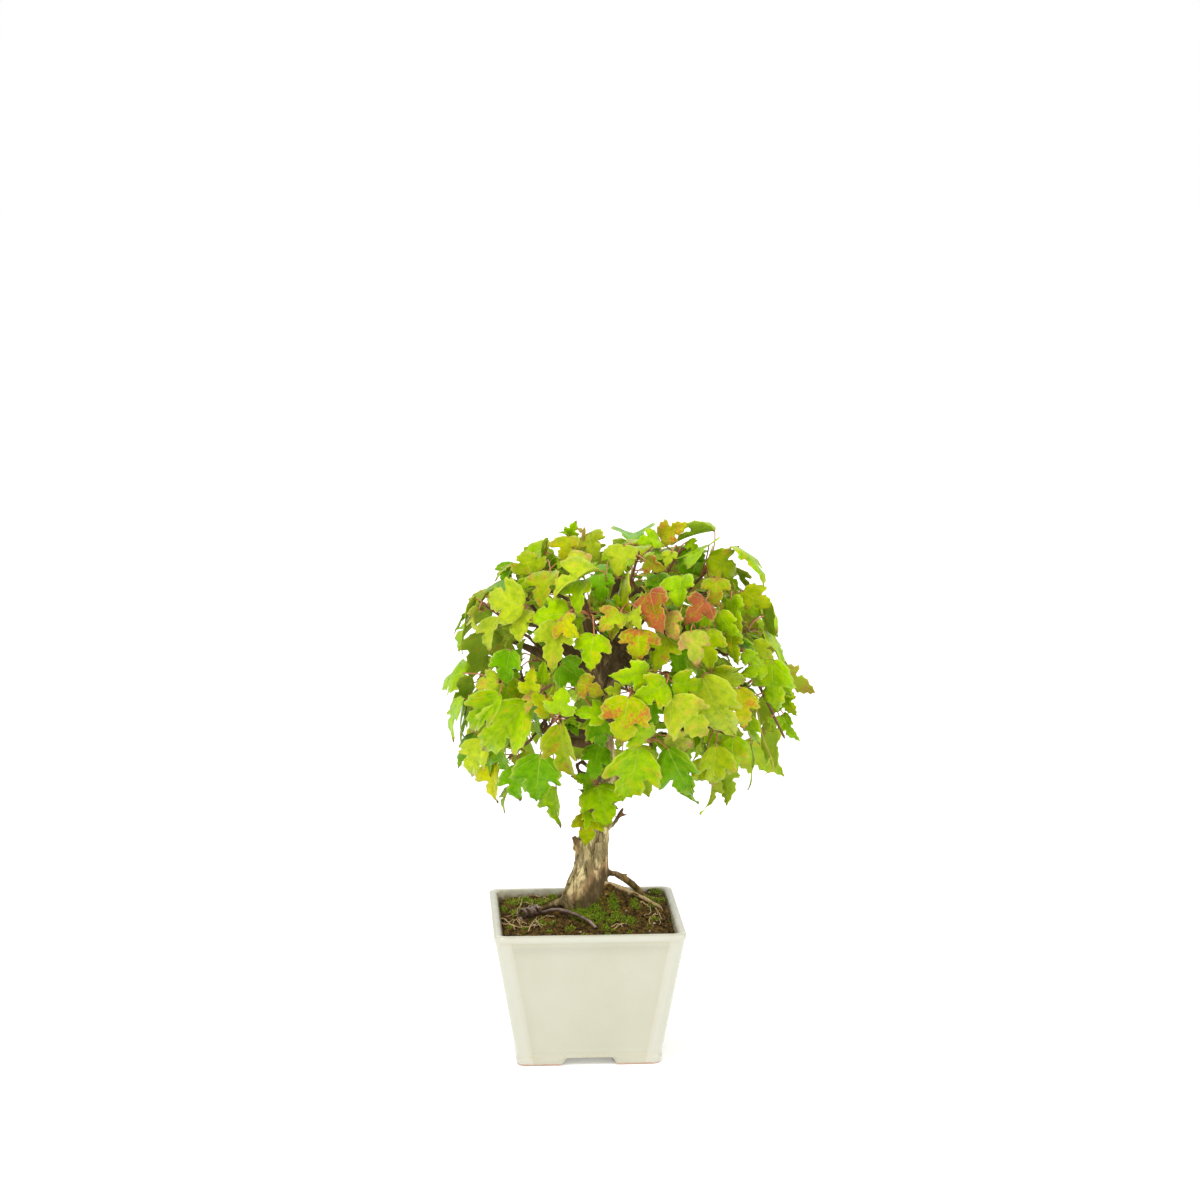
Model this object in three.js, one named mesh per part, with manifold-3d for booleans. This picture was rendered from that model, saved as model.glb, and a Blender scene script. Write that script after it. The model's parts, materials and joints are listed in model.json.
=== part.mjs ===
// A trident maple bonsai in a square glazed pot. Millimetres, +Z up, the front faces -Y.
// The pot and soil are placed in pot coordinates: origin on the ground under the pot's centre.
// The tree is placed in sight coordinates (u, v, w): millimetres to the right, up and towards the eye,
// as the tree is seen from in front and a little above. seen() turns them into pot coordinates.
import * as THREE from "three";
import { mergeVertices } from "three/addons/utils/BufferGeometryUtils.js";
import Module from "manifold-3d";

const wasm = await Module();
wasm.setup();

// Pot
const potHeight = 95;
const rimHalf = 65; // half the width across the rim
const footHalf = 48.4; // half the width on the ground
const cornerRadius = 7;
const wall = 5.7;
const footHeight = 5.5;
const floorThick = 6;
const baseBand = 0.9; // how far the band round the foot stands out
const panelDepth = 0.8;
const panelInset = 10.5; // from each corner to the panel's edge
const drainRadius = 8;
const notchTop = 30;
const notchBottom = 38;

// Soil
const soilEdge = 89; // height along the walls
const soilTilt = 0.03; // rise to the right and to the back, per mm
const moundRise = 18;
const moundSpread = 29;
const moundCentre = [16, 14];
const clear = 0.3; // between separate pieces

// Wood, wire and shoots
const wireRadius = 1.35;
const coilRadius = 2.9; // of the wire's middle line round the root
const coilTurns = 4;
const shootLength = 15;
const shootRadius = 1.15;
const shootRoom = 17; // between the tips of two shoots
const twigRadius = 1.25;

// Leaves
const bladeThick = 0.62;
const leafWidth = 1.22; // width across the side lobes, in leaf lengths
const stalkHalf = 0.5;
const stalkDepth = 0.9;
const leafGap = 0.32; // kept between leaves of all shoots
// Half of a leaf's outline, from base to tip: along the midrib and out from it, in leaf lengths.
const halfOutline = [
  [-0.04, 0.25],
  [0.37, 0.5],
  [0.47, 0.23],
  [0.72, 0.2],
];
const backOutline = [halfOutline[0], halfOutline[1], [0.54, 0.22]]; // fewer sides, on the far side

// Crown, in sight coordinates: the leaves lie on this egg shape and just inside it.
const crownCentre = [24, 258, 0];
const crownHalf = [114, 98, 102];
const hubLayer = 0.83; // where the shoots end, as a share of the crown's size
const fork = [11, 250, 0]; // where the trunk divides

// The eye that sight coordinates are taken from
const sightDistance = 2190;
const eye = new THREE.Vector3(-120.5, -2120.8, 672.5);
const sightPitch = THREE.MathUtils.degToRad(9.611);
const sightTurn = THREE.MathUtils.degToRad(-3.524);
const sightAxisU = 10.08;
const sightAxisV = 306.6;
const ahead = new THREE.Vector3(
  -Math.sin(sightTurn) * Math.cos(sightPitch),
  Math.cos(sightTurn) * Math.cos(sightPitch),
  -Math.sin(sightPitch),
);
const rightward = new THREE.Vector3(Math.cos(sightTurn), Math.sin(sightTurn), 0);
const upward = new THREE.Vector3().crossVectors(rightward, ahead);
const hanging = new THREE.Vector3(0, -1, 0); // straight down, in sight coordinates
const trunkDepth = -11; // of the trunk's foot, from the plane that sight distance is taken to
const trunkFoot = 98;
const uprightness = 0.2; // how fast that depth grows with height, so that the tree stands upright

function seen(p) {
  const distance = sightDistance - p.z - trunkDepth - uprightness * (p.y - trunkFoot);
  return new THREE.Vector3()
    .copy(ahead)
    .addScaledVector(rightward, (p.x - sightAxisU) / sightDistance)
    .addScaledVector(upward, (p.y - sightAxisV) / sightDistance)
    .multiplyScalar(distance)
    .add(eye);
}

// The same draw for the same leaf and use, between 0 and 1.
function draw(index, use) {
  const x = Math.sin(index * 12.9898 + use * 78.233) * 43758.5453;
  return x - Math.floor(x);
}

const vec = (a) => new THREE.Vector3(...a);
const curveThrough = (points) => new THREE.CatmullRomCurve3(points, false, "centripetal");

// Solids

function solidOf(geometry) {
  const bare = geometry.clone();
  bare.deleteAttribute("normal");
  bare.deleteAttribute("uv");
  const merged = mergeVertices(bare, 1e-4);
  return new wasm.Manifold(
    new wasm.Mesh({
      numProp: 3,
      vertProperties: new Float32Array(merged.attributes.position.array),
      triVerts: new Uint32Array(merged.index.array),
    }),
  );
}

function geometryOf(solid) {
  const mesh = solid.getMesh();
  const positions = new Float32Array(mesh.numVert * 3);
  for (let i = 0; i < mesh.numVert; i++)
    positions.set(mesh.vertProperties.subarray(i * mesh.numProp, i * mesh.numProp + 3), i * 3);
  const geometry = new THREE.BufferGeometry();
  geometry.setAttribute("position", new THREE.BufferAttribute(positions, 3));
  geometry.setIndex(new THREE.BufferAttribute(new Uint32Array(mesh.triVerts), 1));
  geometry.computeVertexNormals();
  return geometry;
}

function united(solids) {
  return solids.reduce((whole, next) => whole.add(next));
}

// The largest body of a solid, without the slivers that joining leaves on its skin.
function largest(solid, tolerance = 0.04) {
  const body = solid.decompose().reduce((a, b) => (b.volume() > a.volume() ? b : a));
  return body.asOriginal().simplify(tolerance);
}

// Directions across a curve at equal steps, each turned no more than the curve turns.
function framesAlong(curve, steps) {
  const frames = [];
  let normal = new THREE.Vector3(0.31, 0.87, 0.38);
  for (let i = 0; i <= steps; i++) {
    const tangent = curve.getTangent(i / steps);
    normal = normal.clone().addScaledVector(tangent, -normal.dot(tangent)).normalize();
    frames.push({ normal, binormal: new THREE.Vector3().crossVectors(tangent, normal) });
  }
  return frames;
}

// A tapered round rod along a curve: a cylinder bent to it. Radii are given at the curve's points.
function rod(points, radii, sides, steps, place = (p) => p, ridge = 0) {
  const curve = curveThrough(points);
  const frames = framesAlong(curve, steps);
  const geometry = new THREE.CylinderGeometry(1, 1, 1, sides, steps);
  const position = geometry.attributes.position;
  for (let i = 0; i < position.count; i++) {
    const t = THREE.MathUtils.clamp(position.getY(i) + 0.5, 0, 1);
    const step = Math.round(t * steps);
    const at = t * (radii.length - 1);
    const low = Math.min(Math.floor(at), radii.length - 2);
    let radius = THREE.MathUtils.lerp(radii[low], radii[low + 1], at - low);
    const angle = Math.atan2(position.getZ(i), position.getX(i));
    radius *= 1 + ridge * Math.sin(5 * angle + 3 * t);
    const p = curve
      .getPoint(t)
      .addScaledVector(frames[step].normal, position.getX(i) * radius)
      .addScaledVector(frames[step].binormal, position.getZ(i) * radius);
    position.setXYZ(i, ...place(p).toArray());
  }
  const made = solidOf(geometry);
  return made.volume() < 0 ? solidOf(flipped(geometry)) : made;
}

function flipped(geometry) {
  const turned = geometry.clone();
  const index = turned.index.array;
  for (let i = 0; i < index.length; i += 3) [index[i + 1], index[i + 2]] = [index[i + 2], index[i + 1]];
  return turned;
}

// Closed skin over a stack of rings with equal counts of points, lowest ring first.
function loft(rings) {
  const count = rings[0].length;
  const middle = (ring) =>
    ring.reduce((sum, p) => sum.add(p), new THREE.Vector3()).divideScalar(ring.length);
  const points = [...rings.flat(), middle(rings[0]), middle(rings.at(-1))];
  const index = [];
  const bottom = rings.length * count;
  for (let r = 0; r < rings.length - 1; r++)
    for (let i = 0; i < count; i++) {
      const a = r * count + i;
      const b = r * count + ((i + 1) % count);
      index.push(a, b, b + count, a, b + count, a + count);
    }
  for (let i = 0; i < count; i++) {
    const j = (i + 1) % count;
    const top = (rings.length - 1) * count;
    index.push(bottom, j, i, bottom + 1, top + i, top + j);
  }
  const geometry = new THREE.BufferGeometry().setFromPoints(points);
  geometry.setIndex(index);
  return solidOf(geometry);
}

// Rounded square at a height, counter-clockwise from above.
function squareRing(half, radius, height, steps = 4) {
  const ring = [];
  for (let corner = 0; corner < 4; corner++)
    for (let i = 0; i <= steps; i++) {
      const angle = (corner + i / steps) * (Math.PI / 2);
      const turn = (corner + 0.5) * (Math.PI / 2);
      ring.push(
        new THREE.Vector3(
          Math.sign(Math.cos(turn)) * (half - radius) + radius * Math.cos(angle),
          Math.sign(Math.sin(turn)) * (half - radius) + radius * Math.sin(angle),
          height,
        ),
      );
    }
  return ring;
}

// Pot

const outerHalf = (z) => footHalf + ((rimHalf - footHalf) * z) / potHeight;

function potSolid() {
  const outside = [
    [0, baseBand - 0.4],
    [0.8, baseBand],
    [5.2, baseBand],
    [6.2, 0],
    [89.6, 0],
    [90.3, 0.7],
    [93.4, 0.5],
    [94.6, -0.5],
    [95, -1.9],
  ];
  const body = loft(outside.map(([z, out]) => squareRing(outerHalf(z) + out, cornerRadius, z)));
  const floorTop = footHeight + floorThick;
  const inside = [
    [floorTop, -wall - 4],
    [floorTop + 4, -wall - 1],
    [90, -wall],
    [94, -wall + 0.5],
    [95.5, -wall + 2.2],
  ];
  const cavity = loft(inside.map(([z, out]) => squareRing(outerHalf(z) + out, cornerRadius - 2, z)));
  let pot = body.subtract(cavity);
  const under = loft([-1, footHeight].map((z) => squareRing(footHalf - 9, 5, z)));
  pot = pot.subtract(under);
  for (const turn of [0, Math.PI / 2]) pot = pot.subtract(footNotch(turn));
  for (let side = 0; side < 4; side++) pot = pot.subtract(sidePanel((side * Math.PI) / 2));
  const hole = new THREE.CylinderGeometry(drainRadius, drainRadius, 20, 20);
  hole.rotateX(Math.PI / 2);
  hole.translate(0, 0, footHeight + 3);
  return pot.subtract(solidOf(hole));
}

// The notch in the foot, cut right through two facing sides.
function footNotch(turn) {
  const shape = new THREE.Shape([
    new THREE.Vector2(-notchBottom / 2 - 0.7, -1),
    new THREE.Vector2(notchBottom / 2 + 0.7, -1),
    new THREE.Vector2(notchTop / 2, footHeight),
    new THREE.Vector2(-notchTop / 2, footHeight),
  ]);
  const length = 160;
  const geometry = new THREE.ExtrudeGeometry(shape, { depth: length, bevelEnabled: false });
  geometry.translate(0, 0, -length / 2);
  geometry.rotateX(Math.PI / 2);
  geometry.rotateZ(turn);
  return solidOf(geometry);
}

// The shallow sunk panel of one side, leaning as the wall leans.
function sidePanel(turn) {
  const low = 9;
  const high = 86;
  const lean = Math.atan2(rimHalf - footHalf, potHeight);
  const shape = new THREE.Shape([
    new THREE.Vector2(-outerHalf(low) + panelInset, low),
    new THREE.Vector2(outerHalf(low) - panelInset, low),
    new THREE.Vector2(outerHalf(high) - panelInset, high),
    new THREE.Vector2(-outerHalf(high) + panelInset, high),
  ]);
  const geometry = new THREE.ExtrudeGeometry(shape, { depth: 6, bevelEnabled: false });
  geometry.rotateX(Math.PI / 2);
  const position = geometry.attributes.position;
  for (let i = 0; i < position.count; i++) {
    const z = position.getZ(i);
    const out = position.getY(i) < -3 ? 6 : 0;
    const across = outerHalf(z) - panelDepth + out / Math.cos(lean);
    position.setXYZ(i, position.getX(i), -across, z);
  }
  geometry.rotateZ(turn);
  return solidOf(geometry);
}

// Soil surface: the pot's filling, mounded at the trunk.

function soilHeight(x, y) {
  const far = Math.hypot(x - moundCentre[0], y - moundCentre[1]);
  const mound = moundRise * Math.exp(-((far / moundSpread) ** 2));
  const lumps = 0.6 * Math.sin(x * 0.21 + 1) * Math.cos(y * 0.17) + 0.5 * Math.sin(x * 0.43 - y * 0.37);
  return soilEdge + soilTilt * (x + y) + mound + lumps;
}

// The place on the soil, or at a height above it, that is seen at (u, v).
function onSoil(u, v, above) {
  let best = null;
  for (let w = 70; w > -50; w -= 0.5) {
    const p = seen(new THREE.Vector3(u, v, w));
    const over = p.z - soilHeight(p.x, p.y) - above;
    if (!best || over < best.over) best = { over, w };
    if (over <= 0) break;
  }
  return [u, v, best.w];
}

// Wood. Paths are in sight coordinates.

const trunkPath = [
  [2, 74, -2],
  [2, 92, 0],
  [0, 101, 1],
  [2, 110, 1],
  [3.6, 119, 1],
  [4.4, 130, 2],
  [6, 143, 3],
  [8, 156, 4],
  [8.8, 169, 4],
  [12.6, 186, 2],
  [12.5, 203, 0],
  [11, 220, 0],
  [11, 238, 0],
  [11, 256, 0],
];
const trunkRadii = [9, 16, 17.5, 15.2, 12.9, 11.8, 11, 9.6, 8.4, 7.9, 8.2, 8.2, 9.5, 13];

const branchPaths = [
  {
    path: [[8, 252, 2], [-10, 270, 12], [-30, 288, 26], [-46, 300, 36]],
    radii: [7.5, 5, 3.4, 2],
  },
  {
    path: [[10, 254, 0], [4, 284, 8], [-4, 312, 14], [-10, 330, 8]],
    radii: [7, 4.6, 3, 1.8],
  },
  {
    path: [[14, 254, 0], [26, 282, 10], [38, 308, 20], [50, 326, 14]],
    radii: [7.5, 5, 3.2, 1.9],
  },
  {
    path: [[15, 250, 0], [38, 268, 12], [62, 284, 22], [84, 296, 26]],
    radii: [7.5, 5, 3.4, 2.2],
  },
  {
    path: [[12, 248, 4], [18, 260, 26], [24, 272, 50], [30, 280, 66]],
    radii: [7, 4.6, 3, 2],
  },
  {
    path: [[10, 206, 3], [-4, 208, 22], [-18, 210, 42], [-22, 214, 62]],
    radii: [5, 3.6, 2.6, 1.9],
  },
  {
    path: [[9, 224, 2], [-18, 230, 10], [-44, 238, 20], [-66, 238, 22]],
    radii: [5.4, 4, 2.8, 1.8],
  },
  {
    path: [[12, 218, 2], [34, 218, 26], [48, 212, 46], [56, 214, 58]],
    radii: [5, 3.6, 2.6, 1.9],
  },
  {
    path: [[13, 228, 0], [44, 232, 4], [76, 236, 10], [100, 244, 14]],
    radii: [5.8, 4.2, 3, 2.2],
  },
  {
    path: [[8, 250, -4], [-14, 262, -26], [-36, 272, -48], [-50, 278, -60]],
    radii: [6.5, 4.6, 3, 1.8],
  },
  {
    path: [[12, 252, -4], [16, 284, -24], [20, 310, -40], [24, 326, -44]],
    radii: [6.5, 4.4, 3, 1.8],
  },
  {
    path: [[14, 248, -5], [34, 262, -30], [56, 272, -52], [72, 280, -62]],
    radii: [6.5, 4.6, 3, 1.8],
  },
  {
    path: [[12, 222, -4], [34, 220, -28], [56, 220, -50], [70, 222, -60]],
    radii: [5, 3.6, 2.6, 1.8],
  },
  {
    path: [[10, 214, -4], [-12, 214, -26], [-30, 216, -46], [-42, 220, -58]],
    radii: [5, 3.6, 2.6, 1.8],
  },
];

const stubs = [
  {
    path: [[13, 145, 4], [18.6, 151, 5], [23, 157.5, 6], [26.2, 163, 6]],
    radii: [2.4, 1.7, 1.9, 1],
  },
  {
    path: [[21, 155.5, 5.5], [24.5, 158, 6], [29.6, 158.4, 6]],
    radii: [1.7, 1.4, 0.6],
  },
  {
    path: [[0, 133, 5], [-5.5, 137.5, 8], [-8, 143.6, 8]],
    radii: [3.4, 3, 2.2],
  },
  {
    path: [[0, 131, 6], [-6, 133.6, 8], [-9.2, 135.6, 8]],
    radii: [2.6, 1.8, 0.7],
  },
  {
    path: [[13, 183, 3], [19, 184.5, 6], [23.2, 185, 6.5]],
    radii: [4, 3.6, 3],
  },
  {
    path: [[8, 184, 4], [0, 186, 8], [-6, 189, 9], [-4.4, 196, 9], [1, 192, 8], [7, 190, 4]],
    radii: [2.2, 1.9, 1.8, 1.8, 1.7, 1.8],
  },
  {
    path: [[0, 186, 8], [-6, 184.5, 9], [-10.6, 184.8, 10]],
    radii: [1.8, 1.5, 0.9],
  },
  {
    path: [[10, 172, 7], [8, 180, 14]],
    radii: [2.4, 1.5],
  },
  {
    path: [[5, 156, 8], [3, 163.5, 16]],
    radii: [2.4, 1.4],
  },
];

const rootPaths = [
  {
    path: [
      [4, 117, 2],
      [15, 118.4, 1],
      [22, 117, -2],
      [29, 112.8, -6],
      [35, 108, -9],
      [41, 101, -12],
      [44, 90, -13],
    ],
    radii: [5, 3, 2.4, 2.8, 2.6, 2, 1.2],
  },
  {
    path: [[26, 115, -4], [28.6, 117.4, -3]],
    radii: [1.8, 0.9],
  },
  {
    path: [
      [5, 108, 6],
      [14, 110, 8],
      onSoil(24, 107.6, 0.8),
      onSoil(32, 104.4, 1),
      onSoil(42, 99.4, 0.9),
      onSoil(51, 94.4, -3),
    ],
    radii: [4, 2, 1.7, 1.5, 1.3, 1],
  },
  {
    path: [
      [-2, 101, 4],
      [-14, 98.5, 4],
      onSoil(-24, 95.3, 2),
      onSoil(-31, 93, 3.4),
      onSoil(-38, 91, 3.6),
      onSoil(-47, 88.8, 2.6),
      onSoil(-53, 84, -7),
    ],
    radii: [8, 4.2, 2.4, 1.2, 1.1, 1.1, 0.8],
  },
  {
    path: [[0, 101, 6], [4, 92, 14], [9, 78, 20]],
    radii: [8, 4.4, 2.4],
  },
  {
    path: [[6, 98, 2], [20, 92, 2], [32, 82, 0], [38, 70, -4]],
    radii: [8, 4.8, 3, 2],
  },
  {
    path: [[-2, 100, -2], [-16, 98, -12], [-28, 90, -20], [-34, 78, -24]],
    radii: [8, 4.8, 3, 2],
  },
  {
    path: [[4, 100, -4], [10, 101, -18], [16, 94, -32], [18, 80, -36]],
    radii: [8, 4.8, 3, 2],
  },
  {
    path: [[0, 80, 0], [-12, 62, 10], [-22, 46, 16]],
    radii: [6, 3.6, 2],
  },
  {
    path: [[4, 80, 0], [18, 62, -8], [26, 46, -14]],
    radii: [6, 3.6, 2],
  },
];
const wiredRoot = rootPaths[3];

// A path with both its ends moved outwards.
function longer(path, by) {
  const points = path.map(vec);
  const first = points[0].clone().sub(points[1]).setLength(by);
  const last = points.at(-1).clone().sub(points.at(-2)).setLength(by);
  points[0].add(first);
  points.at(-1).add(last);
  return points;
}

function woodRods(list, grow) {
  return list.map(({ path, radii }) =>
    rod(
      longer(path, grow),
      radii.map((r) => r + grow),
      radii[0] > 2.5 ? 6 : 5,
      path.length > 3 ? path.length : path.length - 1,
      seen,
    ),
  );
}

function trunkRod(grow) {
  return rod(
    longer(trunkPath, grow),
    trunkRadii.map((r) => r + grow),
    12,
    trunkPath.length - 1,
    seen,
    0.05,
  );
}

// The nearest place on a branch that a twig to this root point can leave from.
const branchCurves = branchPaths.map(({ path }) => curveThrough(path.map(vec)));

function twigPath(root, outward) {
  let best = null;
  for (const curve of branchCurves)
    for (let i = 2; i <= 10; i++) {
      const from = curve.getPoint(i / 10);
      const reach = from.distanceTo(root);
      const along = root.clone().sub(from).normalize().dot(outward);
      const cost = reach * (1.35 - 0.5 * along) + (reach < 6 ? 30 : 0);
      if (!best || cost < best.cost) best = { cost, from, reach };
    }
  const bend = best.from
    .clone()
    .lerp(root, 0.5)
    .addScaledVector(outward, -0.12 * best.reach);
  return [best.from, bend, root];
}

// Leaves. A leaf is a base, a tip and a turn about the line between them. Its blade is a closed
// skin of one thickness, fanned from a point on the midrib alike on both faces, and its stalk
// goes on from the blade's base to the shoot.

function leafFrame(leaf) {
  const along = leaf.tip.clone().sub(leaf.base);
  const length = along.length();
  along.normalize();
  const side = new THREE.Vector3().crossVectors(leaf.facing, along).normalize();
  side.applyAxisAngle(along, THREE.MathUtils.degToRad(leaf.turn));
  const face = new THREE.Vector3().crossVectors(along, side);
  return { along, side, face, length };
}

// A point of the blade: x along the midrib and y out from it, in leaf lengths.
function bladePoint(leaf, frame, x, y) {
  const height = leaf.arch * 4 * x * (1 - x) + leaf.fold * Math.abs(y);
  return leaf.base
    .clone()
    .addScaledVector(frame.along, x * frame.length)
    .addScaledVector(frame.side, y * leafWidth * leaf.wide * frame.length)
    .addScaledVector(frame.face, height * frame.length);
}

function leafSolid(leaf, stalkFrom) {
  const frame = leafFrame(leaf);
  const up = frame.face.clone().multiplyScalar(bladeThick);
  const outline = [
    ...leaf.half.map(([x, y]) => [x, -y]),
    [1, 0],
    ...leaf.half.toReversed(),
  ].map(([x, y]) => bladePoint(leaf, frame, x, y));
  const middle = bladePoint(leaf, frame, 0.42, 0);
  const n = outline.length;
  const points = [...outline, ...outline.map((p) => p.clone().add(up)), middle, middle.clone().add(up)];
  const way = leaf.base.clone().sub(stalkFrom).normalize();
  const across = frame.side.clone().multiplyScalar(stalkHalf);
  const c = way.dot(frame.face);
  const s = way.dot(frame.along);
  const back = frame.face.clone().multiplyScalar(s).addScaledVector(frame.along, -c).normalize();
  back.multiplyScalar(stalkDepth);
  for (const end of [leaf.base, stalkFrom])
    points.push(end.clone().sub(across), end.clone().add(across), end.clone().add(back));
  const [low, high, m, M] = [0, n, 2 * n, 2 * n + 1];
  const [b1, b2, B, h1, h2, H] = [1, 2, 3, 4, 5, 6].map((k) => 2 * n + 1 + k);
  const index = [M, B, high, M, high + n - 1, B, m, low, b1, m, b1, b2, m, b2, low + n - 1];
  for (let i = 0; i < n - 1; i++) {
    index.push(M, high + i, high + i + 1, m, low + i + 1, low + i);
    index.push(low + i, low + i + 1, high + i + 1, low + i, high + i + 1, high + i);
  }
  index.push(b1, low, high, b1, high, B);
  index.push(low + n - 1, b2, B, low + n - 1, B, high + n - 1);
  index.push(b2, b1, h1, b2, h1, h2, b1, B, H, b1, H, h1, B, b2, h2, B, h2, H, h2, h1, H);
  const geometry = new THREE.BufferGeometry().setFromPoints(points.map(seen));
  geometry.setIndex(index);
  return solidOf(geometry);
}

// Every step that a leaf may be moved by to come clear of the rest: along the line of sight,
// at the tip alone, about its midrib, and last to the side.
const steps = [];
for (const side of [0, 4, -4, 8, -8])
  for (const roll of [0, 16, -16, 32, -32])
    for (const tilt of [0, 5, -5, 10, -10])
      for (const shift of [0, 3, -3, 6, -6, 9, -9, 12, -12, 16, -16, 20, -20, 25, -25])
        steps.push({
          side,
          roll,
          tilt,
          shift,
          cost: Math.abs(shift) + 1.2 * Math.abs(tilt) + 0.25 * Math.abs(roll) + 4 * Math.abs(side),
        });
steps.sort((a, b) => a.cost - b.cost);

function moved(leaf, step) {
  const out = leaf.outward;
  const sideways = new THREE.Vector3().crossVectors(out, hanging).normalize();
  return {
    ...leaf,
    base: leaf.base.clone().addScaledVector(out, step.shift).addScaledVector(sideways, step.side),
    tip: leaf.tip
      .clone()
      .addScaledVector(out, step.shift + step.tilt)
      .addScaledVector(sideways, step.side),
    turn: leaf.turn + step.roll,
  };
}

function boxOf(solid) {
  const { min, max } = solid.boundingBox();
  return new THREE.Box3(vec(min), vec(max)).expandByScalar(leafGap);
}

const placed = []; // every solid that a leaf keeps clear of: { solid, box, shoot, kind }

function note(solid, shoot, kind) {
  placed.push({ solid, box: boxOf(solid), shoot, kind });
}

function isClear(solid, shoot, kind) {
  const box = boxOf(solid);
  return placed.every(
    (other) =>
      !box.intersectsBox(other.box) ||
      (shoot === other.shoot && kind === "stalk" && other.kind !== "blade") ||
      (shoot === other.shoot && kind === "blade" && other.kind === "shoot") ||
      solid.minGap(other.solid, 2 * leafGap) > leafGap,
  );
}

function stalkTest(leaf) {
  const way = leaf.root.clone().sub(leaf.base);
  const from = leaf.base.clone().addScaledVector(way, 1.5 / way.length());
  const to = leaf.base.clone().addScaledVector(way, 1 - 3.5 / way.length());
  return rod([from, to], [0.55, 0.55], 4, 1, seen);
}

function settle(leaf) {
  for (const [tried, step] of steps.entries()) {
    const next = moved(leaf, step);
    const near = next.base.clone().lerp(leaf.root, 2 / next.base.distanceTo(leaf.root));
    const blade = leafSolid(next, near);
    if (!isClear(blade, leaf.shoot, "blade")) continue;
    const stalk = stalkTest(next);
    if (!isClear(stalk, leaf.shoot, "stalk")) continue;
    note(blade, leaf.shoot, "blade");
    note(stalk, leaf.shoot, "stalk");
    next.tried = tried;
    return next;
  }
  return null;
}

// Depth of the crown's shell towards the eye, at a share of its size.
function shellDepth(u, v, layer) {
  const x = (u - crownCentre[0]) / (crownHalf[0] * layer);
  const y = (v - crownCentre[1]) / (crownHalf[1] * layer);
  return crownHalf[2] * layer * Math.sqrt(Math.max(0, 1 - x * x - y * y));
}

function crownOutward(p) {
  return new THREE.Vector3(
    (p.x - crownCentre[0]) / crownHalf[0] ** 2,
    (p.y - crownCentre[1]) / crownHalf[1] ** 2,
    (p.z - crownCentre[2]) / crownHalf[2] ** 2,
  ).normalize();
}

function leafShape(leaf, index) {
  leaf.arch = 0.05 + 0.07 * draw(index, 1);
  leaf.fold = -0.1 + 0.32 * draw(index, 2);
  return leaf;
}

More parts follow.
